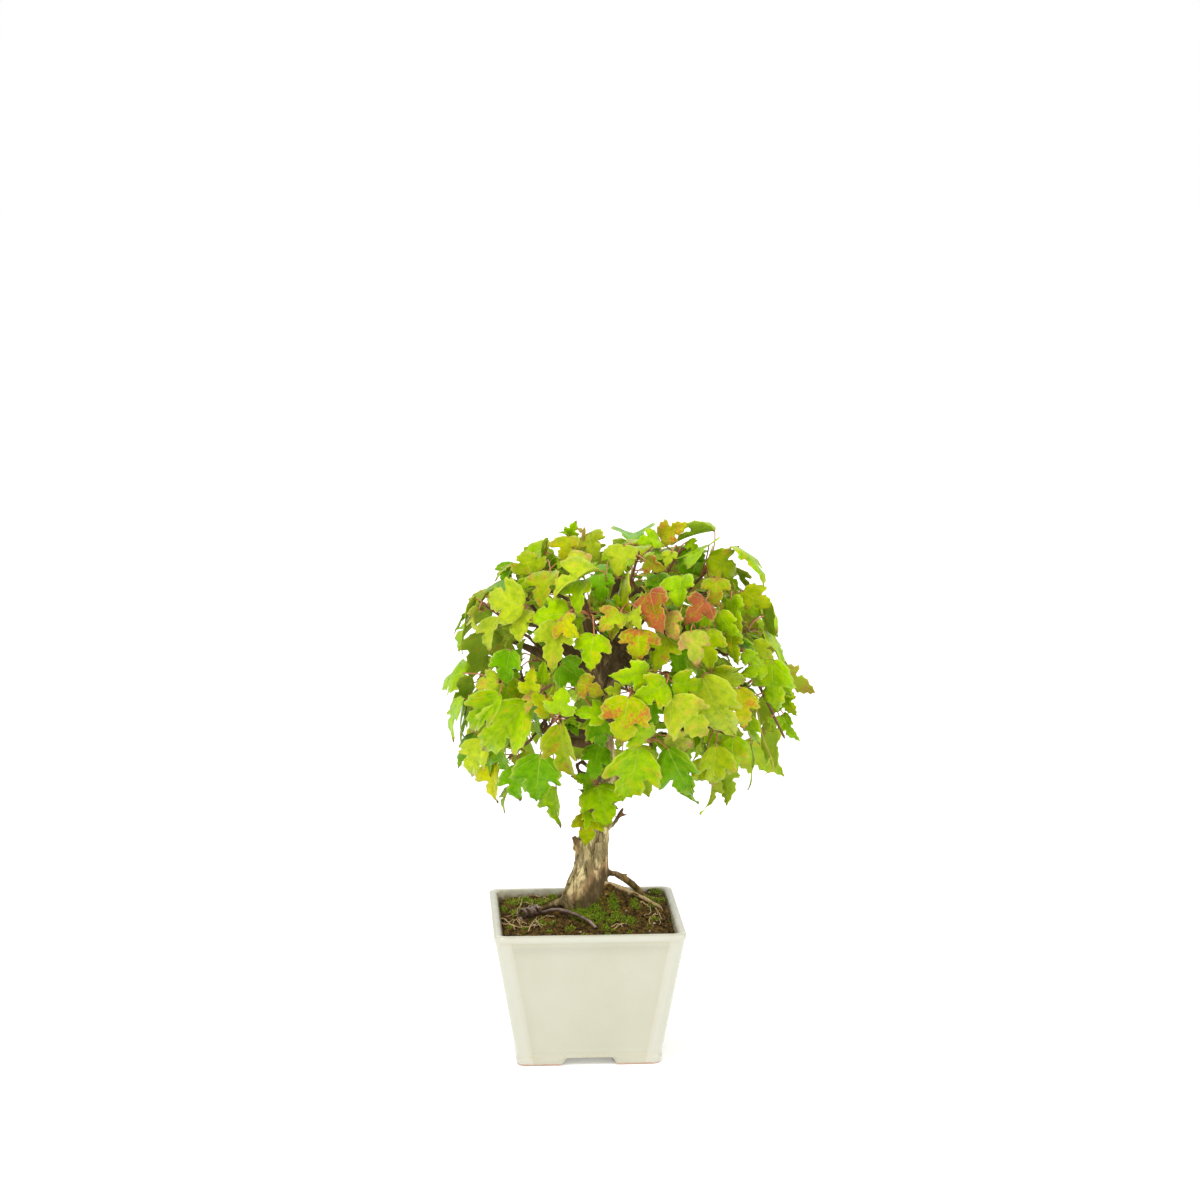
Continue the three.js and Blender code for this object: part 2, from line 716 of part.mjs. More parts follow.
// Shoots on the side towards the eye. hub: where the stalks meet, seen at (u, v).
// leaves: base u, v, tip u, v, layer of the crown, turn in degrees, width.
const frontShoots = [
  {
    tone: "green",
    hub: [-10, 340],
    leaves: [
      [-11, 351, -6, 361, 0.95, 20, 1],
      [-12, 350, -19, 353, 0.9, 40, 0.8],
      [-11, 350, -13, 331, 1, 10, 1],
      [-15, 347, -23, 344, 0.96, 30, 1],
      [-1, 351, -6, 356, 0.9, 30, 1],
      [3, 353, 8, 334, 0.98, 25, 1],
    ],
  },
  {
    tone: "green",
    hub: [-32, 326],
    leaves: [
      [-38, 324, -42, 341, 0.97, 10, 1.2],
      [-26, 347, -31, 325, 1, 62, 1],
      [-24, 326, -30, 300, 1, 20, 0.9],
      [0, 339, -9, 327, 0.97, 20, 1],
    ],
  },
  {
    tone: "olive",
    hub: [-48, 316],
    leaves: [
      [-47, 329, -62, 320, 0.9, 55, 1],
      [-49, 332, -55, 316, 0.86, 20, 1],
      [-50, 311, -38, 322, 0.96, 10, 1],
    ],
  },
  {
    tone: "green",
    hub: [-44, 300],
    leaves: [
      [-42, 303, -68, 309, 1, -10, 0.95],
      [-45, 299, -46, 278, 1, 0, 0.95],
      [-60, 295, -66, 270, 0.95, 40, 1],
    ],
  },
  {
    tone: "green",
    hub: [-70, 303],
    leaves: [
      [-76, 307, -85, 271, 0.97, 66, 1],
      [-73, 301, -73, 284, 1, 68, 1],
      [-77, 300, -90, 284, 0.9, 40, 0.9],
    ],
  },
  {
    tone: "green",
    hub: [4, 298],
    leaves: [
      [-19, 292, -23, 257, 1.05, 0, 0.85],
      [-16, 293, -5, 280, 0.97, 15, 1],
      [6, 283, 2, 258, 1.02, 0, 0.95],
      [-12, 297, -38, 293, 0.98, 10, 0.9],
      [-2, 320, -5, 296, 0.97, 20, 0.8],
    ],
  },
  {
    tone: "green",
    hub: [14, 318],
    leaves: [
      [8, 327, -23, 308, 1.03, 45, 0.8],
      [10, 324, 12, 303, 0.88, 10, 0.9],
      [28, 322, 33, 283, 1.03, 42, 0.8],
      [18, 340, 20, 328, 0.92, 20, 1],
    ],
  },
  {
    tone: "olive",
    hub: [25, 300],
    leaves: [
      [24, 298, 9, 285, 0.98, 15, 1],
      [25, 297, 18, 279, 0.9, 30, 0.9],
      [36, 301, 39, 286, 1, 50, 1],
      [37, 286, 36, 264, 1.03, 0, 1.25],
    ],
  },
  {
    tone: "pale",
    hub: [36, 336],
    leaves: [
      [27, 344, 22, 322, 1, 10, 1],
      [51, 348, 35, 345, 0.97, 10, 1],
      [42, 334, 56, 326, 0.97, 30, 0.9],
    ],
  },
  {
    tone: "orange",
    hub: [64, 338],
    leaves: [
      [52, 349, 71, 360, 0.94, 10, 0.85],
      [71, 347, 78, 340, 0.94, 20, 1],
      [72, 343, 69, 320, 0.93, 15, 0.9],
      [60, 340, 56, 329, 1, 20, 0.9],
    ],
  },
  {
    tone: "red",
    hub: [52, 308],
    leaves: [
      [45, 312, 55, 284, 1.02, 0, 0.85],
      [50, 324, 53, 308, 0.88, 20, 1],
      [57, 297, 64, 278, 0.99, 35, 0.9],
    ],
  },
  {
    tone: "green",
    hub: [67, 310],
    leaves: [
      [67, 323, 65, 300, 1.02, 35, 0.95],
      [62, 308, 54, 301, 1, 30, 1],
      [66, 299, 67, 281, 1.02, 62, 1],
    ],
  },
  {
    tone: "olive",
    hub: [87, 315],
    leaves: [
      [85, 336, 105, 325, 0.98, 20, 0.9],
      [95, 326, 106, 313, 0.9, 20, 0.9],
      [91, 321, 89, 302, 1, 20, 1],
      [83, 306, 68, 290, 1, 0, 0.9],
      [88, 300, 80, 286, 0.9, 20, 0.9],
    ],
  },
  {
    tone: "green",
    hub: [107, 308],
    leaves: [
      [109, 313, 129, 302, 0.95, 50, 0.9],
      [107, 308, 121, 295, 0.9, 30, 0.9],
      [105, 308, 112, 285, 0.98, 62, 1],
      [103, 292, 114, 285, 0.95, 50, 0.8],
    ],
  },
  {
    tone: "green",
    hub: [97, 290],
    leaves: [
      [93, 298, 108, 280, 1, 45, 0.8],
      [101, 285, 104, 262, 0.95, 40, 0.9],
      [90, 288, 94, 277, 0.9, 20, 0.9],
    ],
  },
  {
    tone: "pink",
    hub: [77, 284],
    leaves: [
      [73, 285, 78, 260, 1.03, 0, 0.8],
      [84, 286, 86, 257, 0.98, 10, 0.75],
      [62, 276, 66, 253, 0.9, 10, 0.95],
    ],
  },
  {
    tone: "green",
    hub: [54, 256],
    leaves: [
      [59, 238, 83, 213, 1.03, 0, 0.85],
      [56, 249, 31, 236, 1.03, 0, 1],
      [60, 250, 82, 247, 1, 0, 0.9],
      [57, 281, 49, 257, 1, 10, 0.75],
      [44, 258, 17, 253, 1, 0, 0.8],
      [46, 258, 62, 253, 0.97, 20, 0.9],
    ],
  },
  {
    tone: "orange",
    hub: [33, 243],
    leaves: [
      [30, 240, 23, 208, 1.05, 0, 1],
      [24, 242, 13, 244, 0.97, 20, 1],
      [32, 250, 22, 237, 0.86, 20, 1],
    ],
  },
  {
    tone: "pale",
    hub: [90, 250],
    leaves: [
      [81, 254, 103, 213, 1.03, 10, 0.75],
      [84, 257, 107, 251, 0.97, 20, 0.75],
      [82, 240, 86, 222, 0.86, 30, 0.8],
      [106, 246, 111, 217, 0.98, 15, 0.8],
      [114, 241, 115, 230, 0.9, 10, 1],
    ],
  },
  {
    tone: "green",
    hub: [111, 272],
    leaves: [
      [109, 271, 121, 262, 0.98, 30, 0.9],
      [115, 277, 130, 265, 0.95, 30, 0.9],
      [107, 279, 118, 271, 0.9, 60, 1],
      [124, 263, 107, 253, 0.95, 0, 0.85],
    ],
  },
  {
    tone: "green",
    hub: [129, 262],
    leaves: [
      [129, 264, 133, 229, 1, 45, 0.85],
      [133, 260, 141, 248, 0.9, 50, 1],
      [135, 250, 144, 239, 0.95, 45, 1],
    ],
  },
  {
    tone: "green",
    hub: [127, 241],
    leaves: [
      [128, 241, 130, 213, 0.95, 50, 0.9],
      [136, 242, 146, 227, 0.95, 55, 1],
      [134, 226, 134, 218, 0.95, 0, 1],
      [137, 228, 148, 209, 0.9, 70, 0.9],
      [118, 226, 124, 207, 1, 60, 0.8],
    ],
  },
  {
    tone: "green",
    hub: [92, 216],
    leaves: [
      [90, 206, 88, 178, 1, 0, 0.8],
      [102, 212, 101, 186, 0.96, 15, 0.95],
      [92, 227, 88, 205, 0.86, 10, 0.9],
      [82, 197, 78, 181, 0.97, 50, 0.9],
    ],
  },
  {
    tone: "green",
    hub: [44, 208],
    leaves: [
      [37, 205, 28, 168, 1.05, 0, 0.85],
      [42, 210, 28, 224, 1.03, 0, 1.1],
      [57, 204, 74, 172, 1.03, 10, 0.75],
      [56, 213, 75, 207, 1, 15, 0.9],
      [71, 197, 78, 166, 0.97, 70, 0.8],
      [45, 235, 47, 220, 0.9, 10, 1],
    ],
  },
  {
    tone: "green",
    hub: [8, 226],
    leaves: [
      [14, 226, -8, 229, 1, 30, 0.8],
      [8, 225, 12, 205, 0.9, 0, 0.9],
      [-5, 250, 13, 241, 1, 0, 0.85],
      [-17, 262, 5, 247, 0.95, 0, 0.9],
    ],
  },
  {
    tone: "green",
    hub: [-25, 220],
    leaves: [
      [-31, 200, -34, 168, 1.03, 0, 0.95],
      [-20, 178, -16.5, 150, 0.95, 40, 0.7],
      [-24, 228, -38, 243, 0.97, 20, 0.9],
      [-18, 228, -15, 247, 1.02, 0, 1.1],
      [-22, 231, -21, 249, 0.93, 20, 0.8],
      [-17, 221, -8, 184, 1, 25, 0.7],
    ],
  },
  {
    tone: "pale",
    hub: [-38, 241],
    leaves: [
      [-38, 242, -36, 261, 1.03, 0, 0.85],
      [-37, 240, -20, 252, 1.03, 65, 0.9],
      [-40, 236, -71, 203, 1.03, 0, 0.75],
      [-38, 238, -34, 207, 1.05, 30, 0.8],
      [-42, 239, -67, 243, 0.97, 20, 0.9],
    ],
  },
  {
    tone: "green",
    hub: [-58, 262],
    leaves: [
      [-52, 272, -55, 247, 0.93, 0, 1],
      [-60, 250, -76, 246, 0.97, 30, 1],
      [-59, 242, -78, 215, 0.98, 15, 0.7],
    ],
  },
  {
    tone: "green",
    hub: [-72, 222],
    leaves: [
      [-84, 239, -91, 209, 0.97, 45, 0.9],
      [-80, 241, -85, 213, 0.88, 60, 0.9],
      [-76, 214, -88, 191, 0.93, 40, 0.85],
      [-70, 209, -78, 184, 1, 20, 0.8],
      [-62, 203, -66, 185, 0.88, 40, 0.8],
      [-60, 204, -52, 188, 0.95, 20, 1],
    ],
  },
  {
    tone: "yellow",
    hub: [-50, 200],
    leaves: [
      [-62, 194, -62, 167, 1, 30, 0.85],
      [-45, 193, -44, 168, 1, 20, 0.85],
      [-47, 219, -55, 201, 0.88, 50, 0.9],
      [-50, 178, -56, 160, 0.95, 72, 0.8],
    ],
  },
  {
    tone: "green",
    hub: [7, 184],
    depth: 20,
    leaves: [
      [8, 178, 17, 149, 0.42, 0, 1.05],
      [5, 180, -9, 184, 0.36, 20, 1],
      [10, 206, 4, 181, 0.62, 10, 0.8],
    ],
  },
  {
    tone: "green",
    hub: [3, 164],
    depth: 24,
    leaves: [
      [3, 159, 0, 137, 0.32, 0, 1.05],
    ],
  },
];

// Depth for the low shoots on the trunk, where the crown's shell says nothing.
const trunkShootDepth = 24;

function frontLeaf(row, shoot, root, index) {
  const [bu, bv, tu, tv, layer, turn, wide] = row;
  const low = shoot.depth !== undefined;
  const at = (u, v) => (low ? trunkShootDepth + 60 * (layer - 0.3) : shellDepth(u, v, layer));
  const base = new THREE.Vector3(bu, bv, at(bu, bv));
  const reach = Math.hypot(tu - bu, tv - bv);
  const limit = 0.5 * reach;
  const change = THREE.MathUtils.clamp(at(tu, tv) - base.z + 3, -limit, limit);
  const tip = new THREE.Vector3(tu, tv, base.z + change);
  const facing = crownOutward(base).multiplyScalar(0.55).add(new THREE.Vector3(0, 0, 1)).normalize();
  if (low) facing.set(0, 0, 1);
  const outward = new THREE.Vector3(0, 0, 1);
  const half = halfOutline;
  return leafShape({ base, tip, facing, turn, wide, half, outward, root, shoot: shoot.name }, index);
}

// Shoots on the far side, spread evenly by the golden angle over the crown's back.
const hubsAround = 44; // tried all round; the ones towards the eye are left out
const leavesPerBackShoot = 4; // and one more near the top
const goldenAngle = Math.PI * (3 - Math.sqrt(5));

function backHubs() {
  const hubs = [];
  for (let i = 0; i < hubsAround; i++) {
    const y = 0.96 - (1.58 * (i + 0.5)) / hubsAround;
    const ring = Math.sqrt(1 - y * y);
    const angle = 3 + i * goldenAngle;
    const nearest = y > 0.55 ? 0.2 : Math.cos(angle) > 0 ? 0.03 : -0.14;
    if (Math.sin(angle) * ring > nearest) continue;
    hubs.push(
      new THREE.Vector3(ring * Math.cos(angle), y, ring * Math.sin(angle))
        .multiply(vec(crownHalf))
        .multiplyScalar(hubLayer)
        .add(vec(crownCentre)),
    );
  }
  return hubs;
}

function backLeafCount(hub) {
  return leavesPerBackShoot + (hub.y > crownCentre[1] + 0.45 * crownHalf[1] ? 1 : 0);
}

function backLeaf(hub, outward, number, root, shoot, index) {
  const east = new THREE.Vector3().crossVectors(outward, hanging).normalize();
  const north = new THREE.Vector3().crossVectors(east, outward).normalize();
  const angle = (2 * Math.PI * (number + 0.6 * draw(index, 3))) / backLeafCount(hub);
  const away = north.multiplyScalar(Math.cos(angle)).addScaledVector(east, Math.sin(angle));
  const base = hub
    .clone()
    .addScaledVector(outward, 8 + 7 * draw(index, 4))
    .addScaledVector(away, 9 + 6 * draw(index, 5));
  const length = 27 + 11 * draw(index, 6);
  const way = away
    .clone()
    .multiplyScalar(0.75)
    .add(hanging.clone().multiplyScalar(0.8))
    .addScaledVector(outward, 0.28)
    .normalize();
  const tip = base.clone().addScaledVector(way, length);
  const facing = outward.clone().addScaledVector(hanging, -0.35).normalize();
  const turn = -25 + 50 * draw(index, 7);
  const wide = 0.85 + 0.2 * draw(index, 8);
  return leafShape({ base, tip, facing, turn, wide, half: backOutline, outward, root, shoot }, index);
}

// The whole tree's leaves and shoots

const tones = {
  green: 0x8fb81a,
  pale: 0xb2cf52,
  olive: 0x9aa626,
  yellow: 0xc2b62a,
  orange: 0xbf9a35,
  pink: 0xb79a6c,
  red: 0xa8623a,
};
const backTones = ["green", "olive", "green", "pale", "green", "yellow", "green", "orange"];

function planShoots() {
  const plans = frontShoots.map((shoot, i) => {
    const name = "spray_front_" + String(i + 1).padStart(2, "0");
    const depth = shoot.depth ?? shellDepth(...shoot.hub, hubLayer);
    const hub = new THREE.Vector3(...shoot.hub, Math.max(depth, 6));
    return { ...shoot, name, hub, front: true };
  });
  const free = backHubs().filter((hub) => plans.every((plan) => plan.hub.distanceTo(hub) > shootRoom));
  free.forEach((hub, i) => {
    const name = "spray_back_" + String(i + 1).padStart(2, "0");
    plans.push({ name, hub, tone: backTones[i % backTones.length], front: false });
  });
  return plans;
}

function growShoot(plan) {
  const centre = plan.depth === undefined ? vec(fork) : new THREE.Vector3(10, plan.hub.y - 8, 0);
  const outward = plan.hub.clone().sub(centre).normalize();
  const length = plan.depth === undefined ? shootLength : shootLength / 2;
  plan.outward = outward;
  plan.start = plan.hub.clone().addScaledVector(outward, -length);
  const tip = plan.hub.clone().addScaledVector(outward, 1.5);
  plan.stem = rod([plan.start, tip], [shootRadius, shootRadius * 0.8], 5, 1, seen);
  const ends = longer([plan.start.toArray(), tip.toArray()], 2 * clear);
  plan.room = rod(ends, [shootRadius + 2 * clear, shootRadius + 2 * clear], 5, 1, seen);
  note(plan.stem, plan.name, "shoot");
}

function growTwig(plan) {
  const end = plan.start.clone().addScaledVector(plan.outward, -0.5);
  if (plan.depth !== undefined) {
    const from = new THREE.Vector3(9, end.y, 0);
    return rod([from, end], [2.4, twigRadius], 4, 1, seen);
  }
  return rod(twigPath(end, plan.outward), [2.3, 1.7, twigRadius], 4, 2, seen);
}

const plans = planShoots();
plans.forEach(growShoot);
const twigs = plans.map(growTwig);
const grownPaths = [...branchPaths, ...stubs, ...rootPaths];
const woodParts = [trunkRod(0), ...woodRods(grownPaths, 0), ...twigs];
woodParts.forEach((part) => note(part, "wood", "wood"));

let leafIndex = 0;
for (const plan of plans) {
  const rows = plan.front ? plan.leaves : Array.from({ length: backLeafCount(plan.hub) });
  plan.grown = [];
  rows.forEach((row, i) => {
    leafIndex += 1;
    const root = plan.hub.clone().addScaledVector(plan.outward, -1.3 * i);
    const outward = crownOutward(plan.hub);
    const leaf = plan.front
      ? frontLeaf(row, plan, root, leafIndex)
      : backLeaf(plan.hub, outward, i, root, plan.name, leafIndex);
    const settled = settle(leaf);
    if (settled) plan.grown.push(settled);
  });
}

// Soil, with plain holes for wood and wire.

function soilSolid(holes) {
  const half = (z) => outerHalf(z) - wall - clear - 0.35;
  const rings = [];
  const floor = footHeight + floorThick;
  for (const [z, inset] of [[floor + clear, 4], [floor + 5, 1], [80, 0]])
    rings.push(squareRing(half(z) - inset, cornerRadius - 2, z));
  for (let i = 6; i >= 1; i--) {
    const ring = squareRing(half(soilEdge), cornerRadius - 2, 0);
    for (const p of ring) {
      p.multiplyScalar((i / 6) * (half(soilHeight(p.x, p.y)) / half(soilEdge)));
      p.z = soilHeight(p.x, p.y);
    }
    rings.push(ring);
  }
  return largest(holes.reduce((soil, hole) => soil.subtract(hole), loft(rings)));
}

// Wire: coiled round the left root, then led over the soil and into it.

function wirePoints() {
  const root = curveThrough(wiredRoot.path.map(vec));
  const [first, last] = [0.79, 0.52];
  const perTurn = 7;
  const coil = [];
  for (let i = 0; i <= coilTurns * perTurn; i++) {
    const t = THREE.MathUtils.lerp(first, last, i / (coilTurns * perTurn));
    const along = root.getTangent(t);
    const side = new THREE.Vector3().crossVectors(along, new THREE.Vector3(0, 1, 0)).normalize();
    const up = new THREE.Vector3().crossVectors(side, along);
    const angle = Math.PI * 1.5 + (i / perTurn) * 2 * Math.PI;
    coil.push(
      root
        .getPoint(t)
        .addScaledVector(side, Math.cos(angle) * coilRadius)
        .addScaledVector(up, Math.sin(angle) * coilRadius),
    );
  }
  const start = coil[0].clone();
  start.y -= 9;
  const end = [
    [-24, 92.4, 12],
    [-18, 92.6, 20],
    [-9, 90.4, 28],
    [0, 86.2, 35],
    [6, 82, 40],
    [9, 76, 42],
    [10, 68, 41],
  ];
  return [start, ...coil, ...end.map(vec)];
}

function wireRod(grow) {
  const points = longer(wirePoints().map((p) => p.toArray()), grow);
  return rod(points, [wireRadius + grow, wireRadius + grow], 6, points.length + 6, seen);
}

// Mesh over the drain hole

function drainMesh() {
  const side = 28;
  const cells = 4;
  const bar = 1.4;
  const bars = [];
  for (let i = 0; i <= cells; i++) {
    const at = -side / 2 + bar / 2 + (i * (side - bar)) / cells;
    for (const turn of [0, Math.PI / 2]) {
      const geometry = new THREE.BoxGeometry(side, bar, 1);
      geometry.translate(0, at, footHeight + floorThick + clear + 0.5);
      geometry.rotateZ(turn);
      bars.push(solidOf(geometry));
    }
  }
  return largest(united(bars));
}

// The finished group

const tree = new THREE.Group();

function addMesh(name, solid, color, roughness, metalness = 0) {
  const material = new THREE.MeshStandardMaterial({ color, roughness, metalness });
  const mesh = new THREE.Mesh(geometryOf(solid), material);
  mesh.name = name;
  tree.add(mesh);
  return mesh;
}

const wood = united(woodParts).subtract(united(plans.map((plan) => plan.room)));
const wire = wireRod(0).subtract(united([trunkRod(clear), ...woodRods(rootPaths, clear)]));
const meshHole = new THREE.BoxGeometry(29, 29, 2);
meshHole.translate(0, 0, footHeight + floorThick + clear + 0.4);
const holes = [trunkRod(clear), ...woodRods(rootPaths, clear), wireRod(clear), solidOf(meshHole)];

addMesh("pot", potSolid(), 0xdcdcc8, 0.25);
addMesh("drain_mesh", drainMesh(), 0x2c2c2c, 0.6);
addMesh("soil", soilSolid(holes), 0x3c2a1c, 0.95);
addMesh("wood", largest(wood, 0.2), 0x9a8468, 0.85);
addMesh("root_wire", largest(wire), 0x5a3c40, 0.4, 0.2);

for (const plan of plans) {
  const parts = [plan.stem];
  for (const leaf of plan.grown) parts.push(leafSolid(leaf, leaf.root));
  addMesh(plan.name, largest(united(parts)), tones[plan.tone], 0.6);
}

// The origin goes on the ground, under the middle of everything.
const bounds = new THREE.Box3().setFromObject(tree);
const middle = bounds.getCenter(new THREE.Vector3());
tree.position.set(-middle.x, -middle.y, -bounds.min.z);

export default tree;
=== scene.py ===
import json
import math
import random
from itertools import combinations

import bmesh
import bpy
import numpy as np
from mathutils import Matrix, Vector, noise


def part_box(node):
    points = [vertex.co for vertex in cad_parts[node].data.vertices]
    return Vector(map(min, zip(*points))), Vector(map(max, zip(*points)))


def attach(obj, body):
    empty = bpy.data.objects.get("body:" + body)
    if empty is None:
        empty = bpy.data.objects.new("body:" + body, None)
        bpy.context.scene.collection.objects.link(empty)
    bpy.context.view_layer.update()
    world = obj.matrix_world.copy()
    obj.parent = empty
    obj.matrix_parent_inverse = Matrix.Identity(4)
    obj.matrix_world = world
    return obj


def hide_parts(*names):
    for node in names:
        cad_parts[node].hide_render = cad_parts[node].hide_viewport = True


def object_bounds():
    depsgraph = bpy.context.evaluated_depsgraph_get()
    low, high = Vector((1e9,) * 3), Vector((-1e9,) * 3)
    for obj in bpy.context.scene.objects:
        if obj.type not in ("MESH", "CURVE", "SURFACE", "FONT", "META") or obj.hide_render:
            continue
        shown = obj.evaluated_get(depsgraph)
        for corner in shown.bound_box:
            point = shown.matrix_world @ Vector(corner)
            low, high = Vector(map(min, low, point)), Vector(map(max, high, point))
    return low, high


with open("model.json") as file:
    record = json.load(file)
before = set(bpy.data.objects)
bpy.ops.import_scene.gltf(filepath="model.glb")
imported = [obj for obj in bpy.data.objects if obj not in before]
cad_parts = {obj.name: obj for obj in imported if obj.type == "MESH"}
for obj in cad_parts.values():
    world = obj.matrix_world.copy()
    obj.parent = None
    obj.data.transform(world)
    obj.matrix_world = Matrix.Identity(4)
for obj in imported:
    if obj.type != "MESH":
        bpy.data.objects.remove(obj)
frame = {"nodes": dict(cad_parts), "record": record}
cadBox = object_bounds()
print("frame loaded, nodes:", len(frame["nodes"]))

mm = 0.001
potLow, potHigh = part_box("pot")
potCentre = Vector(((potLow.x + potHigh.x) / 2, (potLow.y + potHigh.y) / 2, potLow.z))

# Where the tree is seen from, in millimetres from the ground under the pot's centre
sight = {
    "eye": Vector((-120.5, -2120.8, 672.5)),
    "ahead": Vector((0.06061, 0.98411, -0.16696)).normalized(),
    "right": Vector((0.99811, -0.06147, 0)).normalized(),
    "distance": 2190,
    "axisU": 10.08,
    "axisV": 306.6,
    "lens": 95.1,
    "sensor": 36,
}
sight["up"] = sight["right"].cross(sight["ahead"])


# Millimetres from the pot's centre on the ground, as a place in the scene
def placed(p):
    return Vector(p) * mm + potCentre


# The point at a distance along the line of sight through (u, v), in pot millimetres
def seenAlong(u, v, distance):
    across = sight["right"] * ((u - sight["axisU"]) / sight["distance"])
    rise = sight["up"] * ((v - sight["axisV"]) / sight["distance"])
    return sight["eye"] + (sight["ahead"] + across + rise) * distance


# A point of the tree by where it is seen and how far towards the eye, in pot millimetres
def onTree(u, v, w):
    return seenAlong(u, v, sight["distance"] - w + 11 - 0.2 * (v - 98))


# Where a point of the scene is seen, as (u, v)
def seenAt(point):
    way = (Vector(point) - potCentre) / mm - sight["eye"]
    scale = sight["distance"] / way.dot(sight["ahead"])
    return (
        sight["axisU"] + scale * way.dot(sight["right"]),
        sight["axisV"] + scale * way.dot(sight["up"]),
    )


# Pieces and meshes


# Keeps a point inside the box of the CAD model
def inBox(p, margin):
    return Vector([min(max(c, low + margin), high - margin) for c, low, high in zip(p, *cadBox)])


def linked(name, data):
    made = bpy.data.objects.new(name, data)
    bpy.context.scene.collection.objects.link(made)
    return made


def meshOf(name, bm):
    mesh = bpy.data.meshes.new(name)
    bm.to_mesh(mesh)
    bm.free()
    return mesh


def addPiece(name, bm, materials, replaced=(), smooth=True):
    mesh = meshOf(name, bm)
    for material in materials:
        mesh.materials.append(material)
    if smooth:
        mesh.shade_smooth()
    piece = linked(name, mesh)
    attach(piece, "root")
    if replaced:
        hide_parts(*replaced)
    print(name, "has", len(mesh.polygons), "faces")
    return piece


def nodeCopy(name):
    bm = bmesh.new()
    bm.from_mesh(frame["nodes"][name].data)
    bmesh.ops.remove_doubles(bm, verts=bm.verts, dist=1e-6)
    return bm


# Extrudes the open rim of a mesh: the new ring's points and edges
def nextRing(bm, edges):
    geom = bmesh.ops.extrude_edge_only(bm, edges=edges)["geom"]
    verts = [g for g in geom if isinstance(g, bmesh.types.BMVert)]
    new = set(verts)
    lines = [g for g in geom if isinstance(g, bmesh.types.BMEdge)]
    return verts, [e for e in lines if e.verts[0] in new and e.verts[1] in new]


# A tapered tube through the points, from one ring that is extruded and turned to each next point
def addTube(bm, points, radii, sides=5):
    points = [Vector(p) for p in points]
    count = len(points)
    normal = None
    before = Matrix.Identity(4)
    verts = bmesh.ops.create_circle(bm, cap_ends=True, segments=sides, radius=1)["verts"]
    allVerts = list(verts)
    edges = list({e for v in verts for e in v.link_edges})
    for i, point in enumerate(points):
        tangent = (points[min(i + 1, count - 1)] - points[max(i - 1, 0)]).normalized()
        if normal is None:
            normal = tangent.orthogonal().normalized()
        normal = (normal - tangent * normal.dot(tangent)).normalized()
        turn = Matrix((normal, tangent.cross(normal), tangent)).transposed().to_4x4()
        after = Matrix.Translation(point) @ turn @ Matrix.Diagonal((*[radii[i]] * 3, 1))
        if i > 0:
            verts, edges = nextRing(bm, edges)
            allVerts += verts
        bmesh.ops.transform(bm, matrix=after @ before.inverted(), verts=verts)
        before = after
    bmesh.ops.contextual_create(bm, geom=edges)
    return allVerts


# A smooth line through the points
def curved(points, steps):
    points = [Vector(p) for p in points]
    ends = [points[0] * 2 - points[1], *points, points[-1] * 2 - points[-2]]
    line = []
    for i in range(1, len(ends) - 2):
        a, b, c, d = ends[i - 1 : i + 3]
        for k in range(steps):
            t = k / steps
            p = b * 2 + (c - a) * t + (a * 2 - b * 5 + c * 4 - d) * t * t
            line.append((p + (b * 3 - a - c * 3 + d) * t**3) / 2)
    return [*line, points[-1]]


# Materials


def addNode(tree, kind, inputs=None, **settings):
    made = tree.nodes.new("ShaderNode" + kind)
    for key, value in settings.items():
        setattr(made, key, value)
    for key, value in (inputs or {}).items():
        socket = made.inputs[key]
        if isinstance(value, bpy.types.NodeSocket):
            tree.links.new(value, socket)
        else:
            socket.default_value = value
    return made


def mathNode(tree, operation, *values, clamp=False):
    inputs = dict(enumerate(values))
    return addNode(tree, "Math", inputs, operation=operation, use_clamp=clamp).outputs[0]


def times(tree, a, b):
    return mathNode(tree, "MULTIPLY", a, b)


def mixColour(tree, factor, a, b, blend="MIX"):
    inputs = {0: factor, 6: a, 7: b}  # the colour sockets of a mix node
    return addNode(tree, "Mix", inputs, data_type="RGBA", blend_type=blend).outputs[2]


def rangeNode(tree, value, low, high, toLow=0.0, toHigh=1.0):
    inputs = {"Value": value, "From Min": low, "From Max": high, "To Min": toLow, "To Max": toHigh}
    return addNode(tree, "MapRange", inputs, interpolation_type="SMOOTHSTEP").outputs[0]


def cloudsAt(tree, place, scale, detail=2.0, rough=0.5, bend=0.0):
    inputs = {"Vector": place, "Scale": scale, "Detail": detail, "Roughness": rough, "Distortion": bend}
    return addNode(tree, "TexNoise", inputs).outputs


def attribute(tree, name):
    return addNode(tree, "Attribute", attribute_name=name, attribute_type="GEOMETRY").outputs


# The colour that a value stands for, by stops from 0 to 1
def rampColour(tree, value, stops):
    ramp = addNode(tree, "ValToRGB", {0: value})
    elements = ramp.color_ramp.elements
    elements[0].color, elements[1].color = stops[0][1], stops[-1][1]
    for place, colour in stops[1:-1]:
        elements.new(place).color = colour
    return ramp.outputs[0]


# A node group by its inputs' usual values, where none stands for a vector, and its outputs' kinds
def newGroup(name, usual, results):
    group = bpy.data.node_groups.new(name, "ShaderNodeTree")
    for label, value in usual.items():
        kind = "Vector" if value is None else "Color" if isinstance(value, tuple) else "Float"
        socket = group.interface.new_socket(label, in_out="INPUT", socket_type="NodeSocket" + kind)
        if value is not None:
            socket.default_value = value
    for label, kind in results.items():
        group.interface.new_socket(label, in_out="OUTPUT", socket_type="NodeSocket" + kind)
    return group, group.nodes.new("NodeGroupInput").outputs, group.nodes.new("NodeGroupOutput").inputs


def useGroup(tree, group, inputs):
    return addNode(tree, "Group", inputs, node_tree=group).outputs


